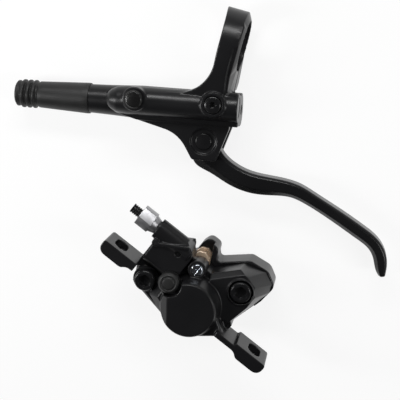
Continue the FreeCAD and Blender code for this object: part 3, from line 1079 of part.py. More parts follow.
def lever_pieces(bolt_x, bolt_y):
    head = "ear_top - pivot_recess"
    pin = turned("pivot_pin", [
        ("0", "pivot_tip"), ("pivot_r", "pivot_tip"), ("pivot_r", "ear_bottom - clip_thick - 0.05"),
        ("pivot_r - clip_groove", "ear_bottom - clip_thick - 0.05"), ("pivot_r - clip_groove", "ear_bottom"),
        ("pivot_r", "ear_bottom"), ("pivot_r", head), ("pivot_head_r", head), ("pivot_head_r", "ear_top - 0.5"),
        ("pivot_head_r - 0.4", "ear_top - 0.1"), ("0", "ear_top - 0.1")])
    put_on_lever(pin)
    clip = new_body("pivot_clip")
    outline = new_sketch(clip, "pivot_clip_outline", lift="ear_bottom - clip_thick")
    circle(outline, "0", "0", "clip_r")
    pad(clip, outline, "clip_thick - 0.02")
    hole = new_sketch(clip, "pivot_clip_hole", lift="ear_bottom")
    circle(hole, "0", "0", "pivot_r - clip_groove + 0.02")
    cut_down(clip, hole, "ear_bottom")
    mouth = new_sketch(clip, "pivot_clip_mouth", lift="ear_bottom")
    rectangle(mouth, "-pivot_r + clip_groove - 0.02", "-clip_r - 1", "pivot_r - clip_groove + 0.02", "0")
    cut_down(clip, mouth, "ear_bottom")
    put_on_lever(clip)

    radius = "bore_r - master_clear"
    low = "bore_r - cup_deep"
    piston = turned("master_piston", [
        ("0", "piston_left"), (radius + " - 1.2", "piston_left"), (radius + " - 1.2", "cup_second - 0.6"),
        (radius, "cup_second - 0.6"), (radius, "cup_second"),
        (low, "cup_second"), (low, "cup_second + cup_wide"), (radius, "cup_second + cup_wide"),
        (radius, "cup_second + cup_wide + 1.2"), (radius + " - 1.2", "cup_second + cup_wide + 1.2"),
        (radius + " - 1.2", "cup_first - 1.2"), (radius, "cup_first - 1.2"), (radius, "cup_first"),
        (low, "cup_first"), (low, "cup_first + cup_wide"), (radius, "cup_first + cup_wide"),
        (radius, "piston_right"), ("rod_r", "piston_right"), ("0", "piston_right")])
    put_on_lever(piston, "0", "bore_y", "bore_z", tilt=ALONG_TUBE)
    for name, place in (("primary_cup", "cup_second"), ("secondary_cup", "cup_first")):
        cup = turned(name, [
            (low, place + " + 0.05"), ("bore_r - cup_gap - 0.5", place + " + 0.05"),
            ("bore_r - cup_gap", place + " + 0.5"), ("bore_r - cup_gap", place + " + cup_wide - 0.5"),
            ("bore_r - cup_gap - 0.3", place + " + cup_wide - 0.05"), (low, place + " + cup_wide - 0.05")])
        put_on_lever(cup, "0", "bore_y", "bore_z", tilt=ALONG_TUBE)
    rod = turned("push_rod", [
        ("0", "piston_right"), ("rod_r", "piston_right"), ("rod_r", "rod_right - 1.0"),
        ("rod_r - 1.0", "rod_right"), ("0", "rod_right")])
    put_on_lever(rod, "0", "bore_y", "bore_z", tilt=ALONG_TUBE)

    spring = doc.addObject("Part::Feature", "return_spring")
    spring.Label = "return_spring"
    NODES.append(spring)
    wire = size("coil_wire")
    coil_r = size("coil_r")
    length = size("piston_left - bore_left") - 2 * wire - 0.1
    path = Part.Wire(Part.makeHelix(length / size("coil_turns"), length, coil_r))
    start = path.Edges[0].valueAt(path.Edges[0].FirstParameter)
    tangent = path.Edges[0].tangentAt(path.Edges[0].FirstParameter)
    section = Part.Wire(Part.makeCircle(wire, start, tangent))
    coil = path.makePipeShell([section], True, True)
    spring.Shape = coil
    put_on_lever(spring, "bore_left + coil_wire + 0.05", "bore_y", "bore_z", tilt=ALONG_TUBE)

    inner = "tank_cavity_r - bladder_gap - bladder_wall"
    outer = "tank_cavity_r - bladder_gap"
    bladder = turned("reservoir_bladder", [
        ("0", "tank_cavity_left + bladder_gap"), (outer, "tank_cavity_left + bladder_gap"),
        (outer, "bladder_right"), (inner, "bladder_right"),
        (inner, "tank_cavity_left + bladder_gap + bladder_wall"), ("0", "tank_cavity_left + bladder_gap + bladder_wall")])
    put_on_lever(bladder, "0", "tank_y", "tank_z", tilt=ALONG_TUBE)
    plug = turned("reservoir_plug", [
        ("0", "tube_right - tank_plug_long"), ("tank_cavity_r - 0.4", "tube_right - tank_plug_long"),
        ("tank_cavity_r", "tube_right - tank_plug_long + 0.4"), ("tank_cavity_r", "tube_right - 0.2"),
        ("0", "tube_right - 0.2")])
    put_on_lever(plug, "0", "tank_y", "tank_z", tilt=ALONG_TUBE)

    cap = turned("port_cap", [
        ("0", "port_cap_boss_high - port_cap_stem"), ("port_cap_r - 1.4", "port_cap_boss_high - port_cap_stem"),
        ("port_cap_r - 1.4", "port_cap_boss_high"), ("port_cap_r", "port_cap_boss_high"),
        ("port_cap_r", "port_cap_high - 0.8"), ("port_cap_r - 0.7", "port_cap_high - 0.1"),
        ("port_cap_r - 1.2", "port_cap_high"), ("0", "port_cap_high")])
    put_on_lever(cap, "port_cap_x", "port_cap_y")
    seat = "bleed_boss_high - 0.8"
    screw = turned("bleed_screw", [
        ("0", seat + " - bleed_long"), ("bleed_thread_r", seat + " - bleed_long"), ("bleed_thread_r", seat + " + 0.6"),
        ("bleed_r", seat + " + 0.6"), ("bleed_r", seat + " + bleed_head - 0.1"),
        ("bleed_r - 0.5", seat + " + bleed_head + 0.2"), ("0", seat + " + bleed_head + 0.2")])
    socket(screw, "bleed_socket", "bleed_socket_af", seat + " + bleed_head + 0.2", "1.6")
    put_on_lever(screw, "bleed_x", "bleed_y")
    washer = ring("bleed_screw_ring", "bleed_thread_r", "bleed_r - 0.1", seat, seat + " + 0.6")
    put_on_lever(washer, "bleed_x", "bleed_y")

    connector = new_body("hose_connector")
    thread = new_sketch(connector, "connector_thread", lift="tube_left")
    circle(thread, "0", "0", "connector_r")
    pad(connector, thread, "connector_deep - tube_left")
    flats = new_sketch(connector, "connector_flats", lift="connector_left")
    hexagon(flats, "0", "0", "connector_af")
    pad(connector, flats, "tube_left - connector_left")
    drill(connector, "connector_hole", "0", "0", "hose_hole", "connector_deep", "connector_deep - connector_left")
    put_on_lever(connector, "0", "bore_y", "bore_z", tilt=ALONG_TUBE)

    mouth = "tube_left + boot_overlap"
    rib_corners = []
    for step in range(int(size("boot_ribs"))):
        foot = "boot_rib_left + %d * boot_pitch" % step
        rib_corners.extend([
            ("boot_r - boot_groove", foot + " - boot_pitch * 0.16"), ("boot_r + boot_rib", foot + " + boot_pitch * 0.2"),
            ("boot_r + boot_rib", foot + " + boot_pitch * 0.5"), ("boot_r - boot_groove", foot + " + boot_pitch * 0.74")])
    after = "boot_rib_left + boot_ribs * boot_pitch"
    inner = "connector_af / 2 / cos(30) + 0.1"
    boot = turned("hose_boot", [
        ("boot_hose_r", "boot_left"), ("boot_r - 0.9", "boot_left"), ("boot_r - 0.1", "boot_left + 0.6"),
        ("boot_r - 0.1", "boot_left + 1.3")] + rib_corners + [
        ("boot_r - boot_groove", after), ("boot_r", after + " + 0.5"),
        ("boot_mouth_r", mouth + " - 1"), ("boot_mouth_r - 0.1", mouth), ("hose_end_r + 0.02", mouth),
        ("hose_end_r + 0.02", "tube_left - 0.1"), (inner, "tube_left - 0.1"), (inner, "connector_left - 1"),
        ("boot_hose_r + 1.0", "boot_left + boot_neck + 2"), ("boot_hose_r", "boot_left + boot_neck")])
    put_on_lever(boot, "0", "bore_y", "bore_z", tilt=ALONG_TUBE)

    seat = "clamp_head_low + clamp_head_high"
    bolt = turned("clamp_bolt", [
        ("0", "clamp_head_low"), ("clamp_head_r - 0.5", "clamp_head_low"), ("clamp_head_r", "clamp_head_low + 0.5"),
        ("clamp_head_r", seat), ("clamp_bolt_r", seat), ("clamp_bolt_r", "clamp_bolt_top"), ("0", "clamp_bolt_top")])
    hexa = new_sketch(bolt, "clamp_bolt_socket", lift="clamp_head_low + 2.4")
    hexagon(hexa, "0", "0", "clamp_socket_af")
    cut_down(bolt, hexa, "2.4")
    put_on_lever(bolt, bolt_x, bolt_y)

    grub = turned("reach_screw", [
        ("0", "screw_left"), ("screw_r - 0.5", "screw_left"), ("screw_r", "screw_left + 0.5"),
        ("screw_r", "screw_right"), ("0", "screw_right")])
    socket(grub, "reach_screw_socket", "screw_socket_af", "screw_right", "screw_socket_deep")
    put_on_lever(grub, "0", "bore_y", "bore_z", tilt=ALONG_TUBE)


caliper_outer_half()
caliper_inner_half()
pistons()
brake_pad("inner", INNER_PLATE, "rotor_height - lining_gap - lining_thick")
brake_pad("outer", OUTER_PLATE, "rotor_height + lining_gap")
pad_spring()
pad_pin()
caliper_fittings()
clamp_bolt_x, clamp_bolt_y = lever_body()
lever_blade()
lever_pieces(clamp_bolt_x, clamp_bolt_y)
doc.recompute()

for item in doc.Objects:
    if "Invalid" in item.State or "Error" in item.State:
        raise RuntimeError(item.Name + " did not build")
for node in NODES:
    if node.Shape.isNull() or not node.Shape.isValid():
        raise RuntimeError(node.Label + " has no valid shape")
for node in NODES:
    node.Shape.exportStep(os.path.join("parts", node.Label + ".step"))
    print("%-22s solids %d volume %9.1f" % (node.Label, len(node.Shape.Solids), node.Shape.Volume))
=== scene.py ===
"""Hydraulic disc brake: lever and caliper laid out without the hose, as seen from above."""

import json
import math

import bpy
from bpy.props import FloatProperty, FloatVectorProperty, IntProperty, PointerProperty
from mathutils import Matrix, Vector


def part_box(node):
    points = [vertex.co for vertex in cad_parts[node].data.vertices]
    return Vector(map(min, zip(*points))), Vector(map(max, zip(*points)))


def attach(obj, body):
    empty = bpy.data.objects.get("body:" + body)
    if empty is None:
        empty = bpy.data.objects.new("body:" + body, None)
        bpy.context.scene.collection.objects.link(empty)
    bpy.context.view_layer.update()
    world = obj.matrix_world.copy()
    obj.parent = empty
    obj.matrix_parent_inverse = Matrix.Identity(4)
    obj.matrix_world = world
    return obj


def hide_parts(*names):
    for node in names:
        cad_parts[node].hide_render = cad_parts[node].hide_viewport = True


bl_info = {
    "name": "Hydraulic disc brake",
    "version": (1, 0, 0),
    "blender": (4, 5, 0),
    "location": "View3D > Sidebar > Brake",
    "description": "Dresses the lever and the caliper of a hydraulic disc brake",
    "category": "Object",
}

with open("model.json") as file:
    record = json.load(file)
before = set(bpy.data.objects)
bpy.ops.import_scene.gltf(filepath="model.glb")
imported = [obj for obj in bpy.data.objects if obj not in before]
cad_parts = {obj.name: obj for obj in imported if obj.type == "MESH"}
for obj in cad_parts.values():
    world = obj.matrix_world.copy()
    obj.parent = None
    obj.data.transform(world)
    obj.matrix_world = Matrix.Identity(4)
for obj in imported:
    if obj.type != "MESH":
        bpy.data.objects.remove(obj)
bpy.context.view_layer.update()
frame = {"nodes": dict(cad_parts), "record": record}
MM = 0.001

# Camera of the photograph: place, tilt from straight down and turn of the picture
PICTURE_WIDTH = 400
CAMERA_PLACE = Vector((-22.56, 145.54, 436.22)) * MM
CAMERA_TILT = math.radians(14.0)
CAMERA_SPIN = math.radians(38.37)
FOCAL_PIXELS = 977.0
SENSOR_WIDTH = 36.0

# Lengths below are in millimetres, unless the name says otherwise
# Voxel size, rounds of smoothing and the share of faces kept, for each casting
CASTINGS = {
    "lever_body": (0.32, 5, 0.4),
    "caliper_outer_half": (0.26, 5, 0.4),
    "caliper_inner_half": (0.32, 6, 0.4),
}
BLADE_VOXEL = 0.26
BLADE_SHARE = 0.5

# Handlebar clamp, from its middle: its ring, the low strip on it and half its width
CLAMP_RADIUS = 14.6
CLAMP_BORE_RADIUS = 11.1
CLAMP_STRIP_RADIUS = 13.2
CLAMP_HALF = 5.1
# Where its drafted sides start, and how far each draft takes to come in
CLAMP_FOOT = -26.0
CLAMP_LEFT_START = -9.0
CLAMP_RING_START = -16.0
CLAMP_BLEND = 6.0
# Where each side stands at the handlebar's height and at the top, and the right side at the bore
CLAMP_LEFT = (-7.0, -5.1)
CLAMP_RIGHT = (4.9, 2.4)
CLAMP_RIM_HALF = 4.3
# Room kept round the bleed screw, and how far from the middle a point still belongs to the clamp
SCREW_ROOM = 7.0
CLAMP_REACH_SIDE = 5.3
# Strip on the clamp's right: from where it counts, and how close to its radius
STRIP_SIDE = 2.0
STRIP_START = -1.0
STRIP_SLACK = 0.25

# Corners of the ridge on the caliper's block: x, y and its underside and top
RIDGE = (
    (-26.4, 17.6, 28.0, 32.3),
    (-25.7, 16.4, 28.0, 32.3),
    (-12.8, 24.3, 28.0, 33.1),
    (-13.5, 25.7, 28.0, 33.1),
)
RIDGE_FACES = [(6, 4, 2, 0), (1, 3, 5, 7), (2, 3, 1, 0), (4, 5, 3, 2), (6, 7, 5, 4), (0, 1, 7, 6)]

# Places of a casting that are blended more: middle, reach and rounds of smoothing
SOFT_SPOTS = {
    "lever_body": (((-84.0, 53.0, 18.5), 12.0, 60), ((-44.5, 108.5, 25.0), 5.0, 30)),
    "caliper_outer_half": (((19.0, 1.5, 31.0), 5.0, 30), ((-11.5, 24.5, 26.0), 4.5, 30)),
}

# Corners of a casting that are pushed back: box, and a point and the normal of the plane
PRESSED = {
    "caliper_outer_half": (((-15.0, 20.0, 19.0), (-8.0, 30.0, 32.0), (-12.0, 24.6, 25.0), (0.45, 0.9, 0.0)),),
}

# Edge rounding of the small parts that keep their turned or pressed shape
SMALL_PARTS = {
    "bolts": {"body_bolt_lower": 0.25, "body_bolt_upper": 0.25, "clamp_bolt": 0.2, "bleed_screw": 0.22,
              "reach_screw": 0.12, "pivot_pin": 0.3, "pad_pin": 0.45, "upper_bolt_washer": 0.15},
    "fittings": {"connector_nut": 0.22, "port_plug": 0.06, "bleed_nipple": 0.15, "hose_connector": 0.12,
                 "passage_plug": 0.15},
    "rubber": {"hose_boot": 0.3, "nipple_cap": 0.3, "port_cap": 0.12, "reservoir_plug": 0.2,
               "bleed_screw_ring": 0.1},
    "pads": {"outer_pad_plate": 0.2, "inner_pad_plate": 0.2, "outer_pad_lining": 0.15,
             "inner_pad_lining": 0.15, "pad_spring": 0.08, "outer_piston": 0.25, "inner_piston": 0.25},
}
MERGE_METRES = 0.000001
FLAT_ANGLE = math.radians(0.5)
EDGE_ANGLE = math.radians(38.0)
EDGE_SEGMENTS = 3
SHADE_ANGLE = math.radians(32.0)

# Stage: floor, share of its white that needs no lamp, height and strength of the world's light at its
# bright and its dark end, and for each softbox its place, size and share of the lamp power
FLOOR_METRES = 4.0
FLOOR_MIDDLE = (0.0, 0.05, 0.0)
FLOOR_GLOW = 0.86
WORLD_HEIGHTS = (0.12, 0.5)
WORLD_LEVELS = (0.5, 0.03)
SOFTBOX_TARGET = (-20, 50, 10)
SOFTBOXES = {
    "softbox_top": ((-234, 312, 290), (320, 70), 1.0),
    "softbox_left": ((-300, -150, 280), (70, 260), 0.9),
    "softbox_right": ((240, 200, 330), (80, 200), 0.45),
}


class BrakeSettings(bpy.types.PropertyGroup):
    """Sizes and colours that a user would change"""
    paint_color: FloatVectorProperty(
        name="Casting paint", description="Paint of the lever's and the caliper's castings",
        subtype="COLOR", size=3, min=0.0, max=1.0, default=(0.0062, 0.0062, 0.0068))
    blade_color: FloatVectorProperty(
        name="Blade paint", description="Paint of the lever's blade",
        subtype="COLOR", size=3, min=0.0, max=1.0, default=(0.0058, 0.0058, 0.0062))
    bronze_color: FloatVectorProperty(
        name="Pad plates", description="Plating of the pads' backing plates",
        subtype="COLOR", size=3, min=0.0, max=1.0, default=(0.62, 0.47, 0.34))
    floor_color: FloatVectorProperty(
        name="Floor", description="Colour of the floor under the brake",
        subtype="COLOR", size=3, min=0.0, max=1.0, default=(0.9, 0.9, 0.9))
    grain: FloatProperty(
        name="Casting skin", description="Voxel size of the castings, as a factor of the standard one",
        min=0.5, max=4.0, default=1.0)
    rounding: FloatProperty(
        name="Edge rounding", description="Rounding of the small parts' edges, as a factor of the standard one",
        min=0.0, max=2.0, default=1.0)
    blade_levels: IntProperty(
        name="Blade smoothness", description="Rounds of smoothing of the forged blade",
        min=0, max=20, default=8)
    lamp_power: FloatProperty(
        name="Lamp power", description="Power of the main softbox",
        unit="POWER", min=0.0, default=1.2)


def new_material(name):
    """Material of that name; the plain one that came with the frame steps aside."""
    plain = bpy.data.materials.get(name)
    if plain is not None:
        plain.name = name + "_plain"
    material = bpy.data.materials.new(name)
    material.use_nodes = True
    return material


def socket_in(tree, name, value):
    """Number that a node group takes."""
    socket = tree.interface.new_socket(name, in_out="INPUT", socket_type="NodeSocketFloat")
    socket.default_value = value


def surface_group():
    """Shared effect: broad and fine variation of roughness and height."""
    tree = bpy.data.node_groups.new("surface_variation", "ShaderNodeTree")
    for name, value in (("Grain Scale", 900.0), ("Broad Scale", 40.0), ("Low", 0.3), ("High", 0.4)):
        socket_in(tree, name, value)
    for name in ("Roughness", "Height", "Mask"):
        tree.interface.new_socket(name, in_out="OUTPUT", socket_type="NodeSocketFloat")
    given = tree.nodes.new("NodeGroupInput")
    result = tree.nodes.new("NodeGroupOutput")
    place = tree.nodes.new("ShaderNodeTexCoord")
    fine = tree.nodes.new("ShaderNodeTexNoise")
    fine.inputs["Detail"].default_value = 3.0
    broad = tree.nodes.new("ShaderNodeTexNoise")
    broad.inputs["Detail"].default_value = 4.0
    tree.links.new(place.outputs["Object"], fine.inputs["Vector"])
    tree.links.new(place.outputs["Object"], broad.inputs["Vector"])
    tree.links.new(given.outputs["Grain Scale"], fine.inputs["Scale"])
    tree.links.new(given.outputs["Broad Scale"], broad.inputs["Scale"])
    spread = tree.nodes.new("ShaderNodeMapRange")
    tree.links.new(broad.outputs["Fac"], spread.inputs["Value"])
    spread.inputs["From Min"].default_value = 0.3
    spread.inputs["From Max"].default_value = 0.7
    tree.links.new(given.outputs["Low"], spread.inputs["To Min"])
    tree.links.new(given.outputs["High"], spread.inputs["To Max"])
    tree.links.new(spread.outputs["Result"], result.inputs["Roughness"])
    tree.links.new(fine.outputs["Fac"], result.inputs["Height"])
    tree.links.new(broad.outputs["Fac"], result.inputs["Mask"])
    return tree


def finish_material(name, group, look, color):
    """Material of one finish: two close colours, varied roughness and a fine bump."""
    material = new_material(name)
    tree = material.node_tree
    shader = tree.nodes["Principled BSDF"]
    effect = tree.nodes.new("ShaderNodeGroup")
    effect.node_tree = group
    effect.inputs["Grain Scale"].default_value = look["grain"]
    effect.inputs["Broad Scale"].default_value = look["broad"]
    effect.inputs["Low"].default_value = look["low"]
    effect.inputs["High"].default_value = look["high"]
    blend = tree.nodes.new("ShaderNodeMix")
    blend.data_type = "RGBA"
    blend.inputs["A"].default_value = (*color, 1.0)
    blend.inputs["B"].default_value = (*[value * look.get("spread", 1.4) for value in color], 1.0)
    tree.links.new(effect.outputs["Mask"], blend.inputs["Factor"])
    tree.links.new(blend.outputs["Result"], shader.inputs["Base Color"])
    tree.links.new(effect.outputs["Roughness"], shader.inputs["Roughness"])
    bump = tree.nodes.new("ShaderNodeBump")
    bump.inputs["Strength"].default_value = look["bump"]
    bump.inputs["Distance"].default_value = look["depth"]
    tree.links.new(effect.outputs["Height"], bump.inputs["Height"])
    tree.links.new(bump.outputs["Normal"], shader.inputs["Normal"])
    shader.inputs["Metallic"].default_value = look.get("metallic", 0.0)
    shader.inputs["Specular IOR Level"].default_value = look.get("specular", 0.5)


# Finish of each material slot: roughness from low to high, scales of the grain, height of the bump;
# the castings' paints, the blade's and the pad plates' take their colour from the settings
LOOKS = {
    "lever_paint": dict(specular=0.29, low=0.28, high=0.35, grain=2600.0, broad=60.0,
                        bump=0.2, depth=0.00003),
    "blade_paint": dict(specular=0.26, low=0.23, high=0.29, grain=2600.0, broad=50.0,
                        bump=0.12, depth=0.00002),
    "caliper_paint": dict(specular=0.28, low=0.29, high=0.36, grain=2600.0, broad=60.0,
                          bump=0.2, depth=0.00003),
    "black_steel": dict(color=(0.006, 0.006, 0.0065), specular=0.32, low=0.2, high=0.26, grain=3000.0,
                        broad=300.0, bump=0.1, depth=0.00002),
    "bright_steel": dict(color=(0.62, 0.66, 0.72), low=0.08, high=0.16, grain=4000.0, broad=300.0,
                         bump=0.05, depth=0.00001, metallic=1.0, spread=1.15),
    "spring_steel": dict(color=(0.42, 0.43, 0.44), low=0.25, high=0.35, grain=4000.0, broad=300.0,
                         bump=0.1, depth=0.00001, metallic=1.0, spread=1.2),
    "nut_steel": dict(color=(0.32, 0.32, 0.33), low=0.36, high=0.46, grain=3000.0, broad=400.0,
                      bump=0.15, depth=0.00002, metallic=1.0, spread=1.3),
    "aluminium": dict(color=(0.68, 0.69, 0.7), low=0.25, high=0.35, grain=3000.0, broad=300.0,
                      bump=0.1, depth=0.00002, metallic=1.0, spread=1.15),
    "brass": dict(color=(0.62, 0.46, 0.22), low=0.25, high=0.35, grain=3000.0, broad=300.0,
                  bump=0.1, depth=0.00002, metallic=1.0, spread=1.15),
    "bronzed_steel": dict(low=0.25, high=0.38, grain=2500.0, broad=200.0,
                          bump=0.2, depth=0.00003, metallic=0.7, spread=1.6),
    "friction_lining": dict(color=(0.05, 0.04, 0.03), low=0.7, high=0.9, grain=1500.0, broad=1500.0,
                            bump=0.6, depth=0.0001, spread=3.5),
    "piston_resin": dict(color=(0.52, 0.49, 0.42), low=0.4, high=0.5, grain=1500.0, broad=200.0,
                         bump=0.1, depth=0.00003, spread=1.15),
    "black_plastic": dict(color=(0.005, 0.005, 0.005), specular=0.4, low=0.22, high=0.3, grain=2000.0,
                          broad=200.0, bump=0.1, depth=0.00003),
    "black_rubber": dict(color=(0.007, 0.007, 0.007), low=0.42, high=0.55, grain=1800.0, broad=90.0,
                         bump=0.3, depth=0.00005, specular=0.4),
    "seal_rubber": dict(color=(0.012, 0.012, 0.012), low=0.4, high=0.5, grain=1800.0, broad=90.0,
                        bump=0.2, depth=0.00004),
}


def deselect_all():
    """No object is selected before the next step."""
    for item in bpy.context.selected_objects:
        item.select_set(False)


def make_active(obj):
    """Only this object is selected and active."""
    deselect_all()
    obj.select_set(True)
    bpy.context.view_layer.objects.active = obj


def apply_modifier(obj, kind, name, **values):
    """Adds a modifier with its values and applies it."""
    modifier = obj.modifiers.new(name, kind)
    for key, value in values.items():
        setattr(modifier, key, value)
    make_active(obj)
    bpy.ops.object.modifier_apply(modifier=name)


def slot_of(node):
    """The record's material slot of a node."""
    for row in frame["record"]["subparts"]:
        if row["node"] == node:
            return row["material_slot"]
    raise RuntimeError("no finish for " + node)


def body_of_node(node):
    """The moving body that a node belongs to."""
    for body, nodes in frame["record"]["behaviour"]["bodies"].items():
        if node in nodes:
            return body
    raise RuntimeError("no body for " + node)


def dress(piece, node):
    """The piece stands for a node: same body, same finish."""
    slot = slot_of(node)
    piece.data.materials.clear()
    piece.data.materials.append(bpy.data.materials[slot])
    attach(piece, body_of_node(node))
    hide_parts(node)


def merged_copy(node, name):
    """Own object with the node's mesh, its loose triangles merged."""
    piece = bpy.data.objects.new(name, frame["nodes"][node].data.copy())
    bpy.context.scene.collection.objects.link(piece)
    make_active(piece)
    bpy.ops.object.mode_set(mode="EDIT")
    bpy.ops.mesh.select_all(action="SELECT")
    bpy.ops.mesh.remove_doubles(threshold=MERGE_METRES)
    bpy.ops.object.mode_set(mode="OBJECT")
    return piece


class BRAKE_OT_finishes(bpy.types.Operator):
    """Makes the finishes and gives each CAD piece its own"""
    bl_idname = "brake.finishes"
    bl_label = "Finishes"

    def execute(self, context):
        group = surface_group()
        settings = context.scene.brake
        chosen = {"lever_paint": settings.paint_color, "caliper_paint": settings.paint_color,
                  "blade_paint": settings.blade_color, "bronzed_steel": settings.bronze_color}
        for name, look in LOOKS.items():
            color = chosen[name] if name in chosen else look["color"]
            finish_material(name, group, look, tuple(color))
        for node, obj in frame["nodes"].items():
            material = bpy.data.materials[slot_of(node)]
            if not obj.material_slots:
                obj.data.materials.append(material)
            for place in obj.material_slots:
                place.material = material
        return {"FINISHED"}


def cast_piece(node, voxel, rounds, share):
    """Copy of a node with the soft edges and small fillets of a mould."""
    piece = merged_copy(node, node + "_cast")
    if node in SHAPED:
        SHAPED[node](piece)
    apply_modifier(piece, "REMESH", "skin", mode="VOXEL", voxel_size=voxel * MM)
    for box in PRESSED.get(node, ()):
        press_back(piece, *box)
    apply_modifier(piece, "SMOOTH", "soften", iterations=rounds, factor=0.5)
    soften_spots(piece, SOFT_SPOTS.get(node, ()))
    apply_modifier(piece, "DECIMATE", "thin", ratio=share)
    make_active(piece)
    bpy.ops.object.shade_smooth()
    dress(piece, node)


def middle_of(node):
    """Middle of a node's box."""
    low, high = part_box(node)
    return (Vector(low) + Vector(high)) / 2


def between(value):
    """The value, kept from 0 to 1."""
    return min(max(value, 0.0), 1.0)


def draft_clamp(piece):
    """Sides of the handlebar clamp lean in towards its top, as in its mould."""
    clamp = [mount for mount in frame["record"]["mounts"] if mount["name"] == "handlebar_clamp"][0]
    centre = Vector(clamp["pos_m"])
    along = Vector(clamp["axis"])
    across = Vector((0.0, 0.0, 1.0)).cross(along)
    screw = middle_of("bleed_screw")
    for vertex in piece.data.vertices:
        offset = vertex.co - centre
        reach = offset.dot(across) / MM
        side = offset.dot(along) / MM
        near_screw = (vertex.co - screw).to_2d().length < SCREW_ROOM * MM
        if reach < CLAMP_FOOT or abs(side) > CLAMP_REACH_SIDE or near_screw:
            continue
        radius = math.hypot(reach, offset.z / MM)
        if side > STRIP_SIDE and reach > STRIP_START and abs(radius - CLAMP_STRIP_RADIUS) < STRIP_SLACK:
            lifted = CLAMP_RADIUS / radius
            vertex.co += across * (reach * (lifted - 1.0) * MM) + Vector((0.0, 0.0, offset.z * (lifted - 1.0)))
        height = between(offset.z / MM / CLAMP_RADIUS)
        share = 1.0
        if side < 0.0:
            low, high = CLAMP_LEFT
            wanted = low + (high - low) * height
            share = between((reach - CLAMP_LEFT_START) / CLAMP_BLEND)
        else:
            low, high = CLAMP_RIGHT
            wanted = low + (high - low) * height
            rim = between((radius - CLAMP_BORE_RADIUS) / (CLAMP_RADIUS - CLAMP_BORE_RADIUS))
            crowned = CLAMP_RIM_HALF + (high - CLAMP_RIM_HALF) * rim
            ringed = between((reach - CLAMP_RING_START) / CLAMP_BLEND)
            wanted += (crowned - wanted) * ringed
        vertex.co += along * (share * (wanted * abs(side) / CLAMP_HALF - side) * MM)
    piece.data.update()


def carry_ridge(piece):
    """Ridge of the caliper's block, carried on over the round of the hose port."""
    corners = [(x * MM, y * MM, z * MM) for x, y, low, high in RIDGE for z in (low, high)]
    mesh = bpy.data.meshes.new("ridge")
    mesh.from_pydata(corners, [], RIDGE_FACES)
    ridge = bpy.data.objects.new("ridge", mesh)
    bpy.context.scene.collection.objects.link(ridge)
    deselect_all()
    ridge.select_set(True)
    piece.select_set(True)
    bpy.context.view_layer.objects.active = piece
    bpy.ops.object.join()


# What is shaped on a casting before its skin is made
SHAPED = {"lever_body": draft_clamp, "caliper_outer_half": carry_ridge}


def soften_spots(piece, spots):
    """Smooths a casting round some places, each given as middle, reach and rounds."""
    for index, (place, reach, rounds) in enumerate(spots):
        group = piece.vertex_groups.new(name="spot_%d" % index)
        middle = Vector(place) * MM
        for vertex in piece.data.vertices:
            share = 1.0 - (vertex.co - middle).length / (reach * MM)
            if share > 0.0:
                group.add([vertex.index], min(1.0, share * 2.0), "REPLACE")
        apply_modifier(piece, "SMOOTH", "spot_%d" % index, iterations=rounds, factor=0.5,
                       vertex_group=group.name)
    piece.vertex_groups.clear()


def press_back(piece, low, high, place, normal):
    """Pushes the skin inside a box back to a plane."""
    middle = Vector(place) * MM
    normal = Vector(normal).normalized()
    for vertex in piece.data.vertices:
        spot = vertex.co / MM
        if all(low[axis] < spot[axis] < high[axis] for axis in range(3)):
            over = (vertex.co - middle).dot(normal)
            if over > 0.0:
                vertex.co -= normal * over
    piece.data.update()


def edged_piece(node, rounding):
    """Copy of a node with rounded edges and smooth round faces."""
    piece = merged_copy(node, node + "_edged")
    bpy.ops.object.mode_set(mode="EDIT")
    bpy.ops.mesh.select_all(action="SELECT")
    bpy.ops.mesh.dissolve_limited(angle_limit=FLAT_ANGLE)
    bpy.ops.object.mode_set(mode="OBJECT")
    apply_modifier(piece, "BEVEL", "edges", width=rounding * MM, segments=EDGE_SEGMENTS,
                   limit_method="ANGLE", angle_limit=EDGE_ANGLE, use_clamp_overlap=True)
    apply_modifier(piece, "TRIANGULATE", "faces", keep_custom_normals=False)
    make_active(piece)
    bpy.ops.object.shade_smooth_by_angle(angle=SHADE_ANGLE)
    dress(piece, node)


class BRAKE_OT_castings(bpy.types.Operator):
    """Lever body and both caliper halves"""
    bl_idname = "brake.castings"
    bl_label = "Castings"

    def execute(self, context):
        for node, (voxel, rounds, share) in CASTINGS.items():
            cast_piece(node, voxel * context.scene.brake.grain, rounds, share)
        return {"FINISHED"}


class BRAKE_OT_blade(bpy.types.Operator):
    """Forged blade of the lever"""
    bl_idname = "brake.blade"
    bl_label = "Blade"

    def execute(self, context):
        settings = context.scene.brake
        cast_piece("lever_blade", BLADE_VOXEL * settings.grain, settings.blade_levels, BLADE_SHARE)
        return {"FINISHED"}


def edge_group(context, group):
    """Rounds the edges of one group of small parts."""
    for node, rounding in SMALL_PARTS[group].items():
        edged_piece(node, rounding * context.scene.brake.rounding)
    return {"FINISHED"}


class BRAKE_OT_bolts(bpy.types.Operator):
    """Bolts, screws and pins"""
    bl_idname = "brake.bolts"
    bl_label = "Bolts and pins"

    def execute(self, context):
        return edge_group(context, "bolts")


class BRAKE_OT_fittings(bpy.types.Operator):
    """Hose nut with its plug, bleed nipple and connector"""
    bl_idname = "brake.fittings"
    bl_label = "Hose fittings"

    def execute(self, context):
        return edge_group(context, "fittings")


class BRAKE_OT_rubber(bpy.types.Operator):
    """Ribbed boot, caps and plugs"""
    bl_idname = "brake.rubber"
    bl_label = "Rubber parts"

    def execute(self, context):
        return edge_group(context, "rubber")


class BRAKE_OT_pads(bpy.types.Operator):
    """Pads, their spring and the pistons"""
    bl_idname = "brake.pads"
    bl_label = "Pads and pistons"

    def execute(self, context):
        return edge_group(context, "pads")


def look_at(obj, target):
    """Turns a lamp towards a point."""
    direction = Vector(target) - obj.location
    obj.rotation_euler = direction.to_track_quat("-Z", "Y").to_euler()


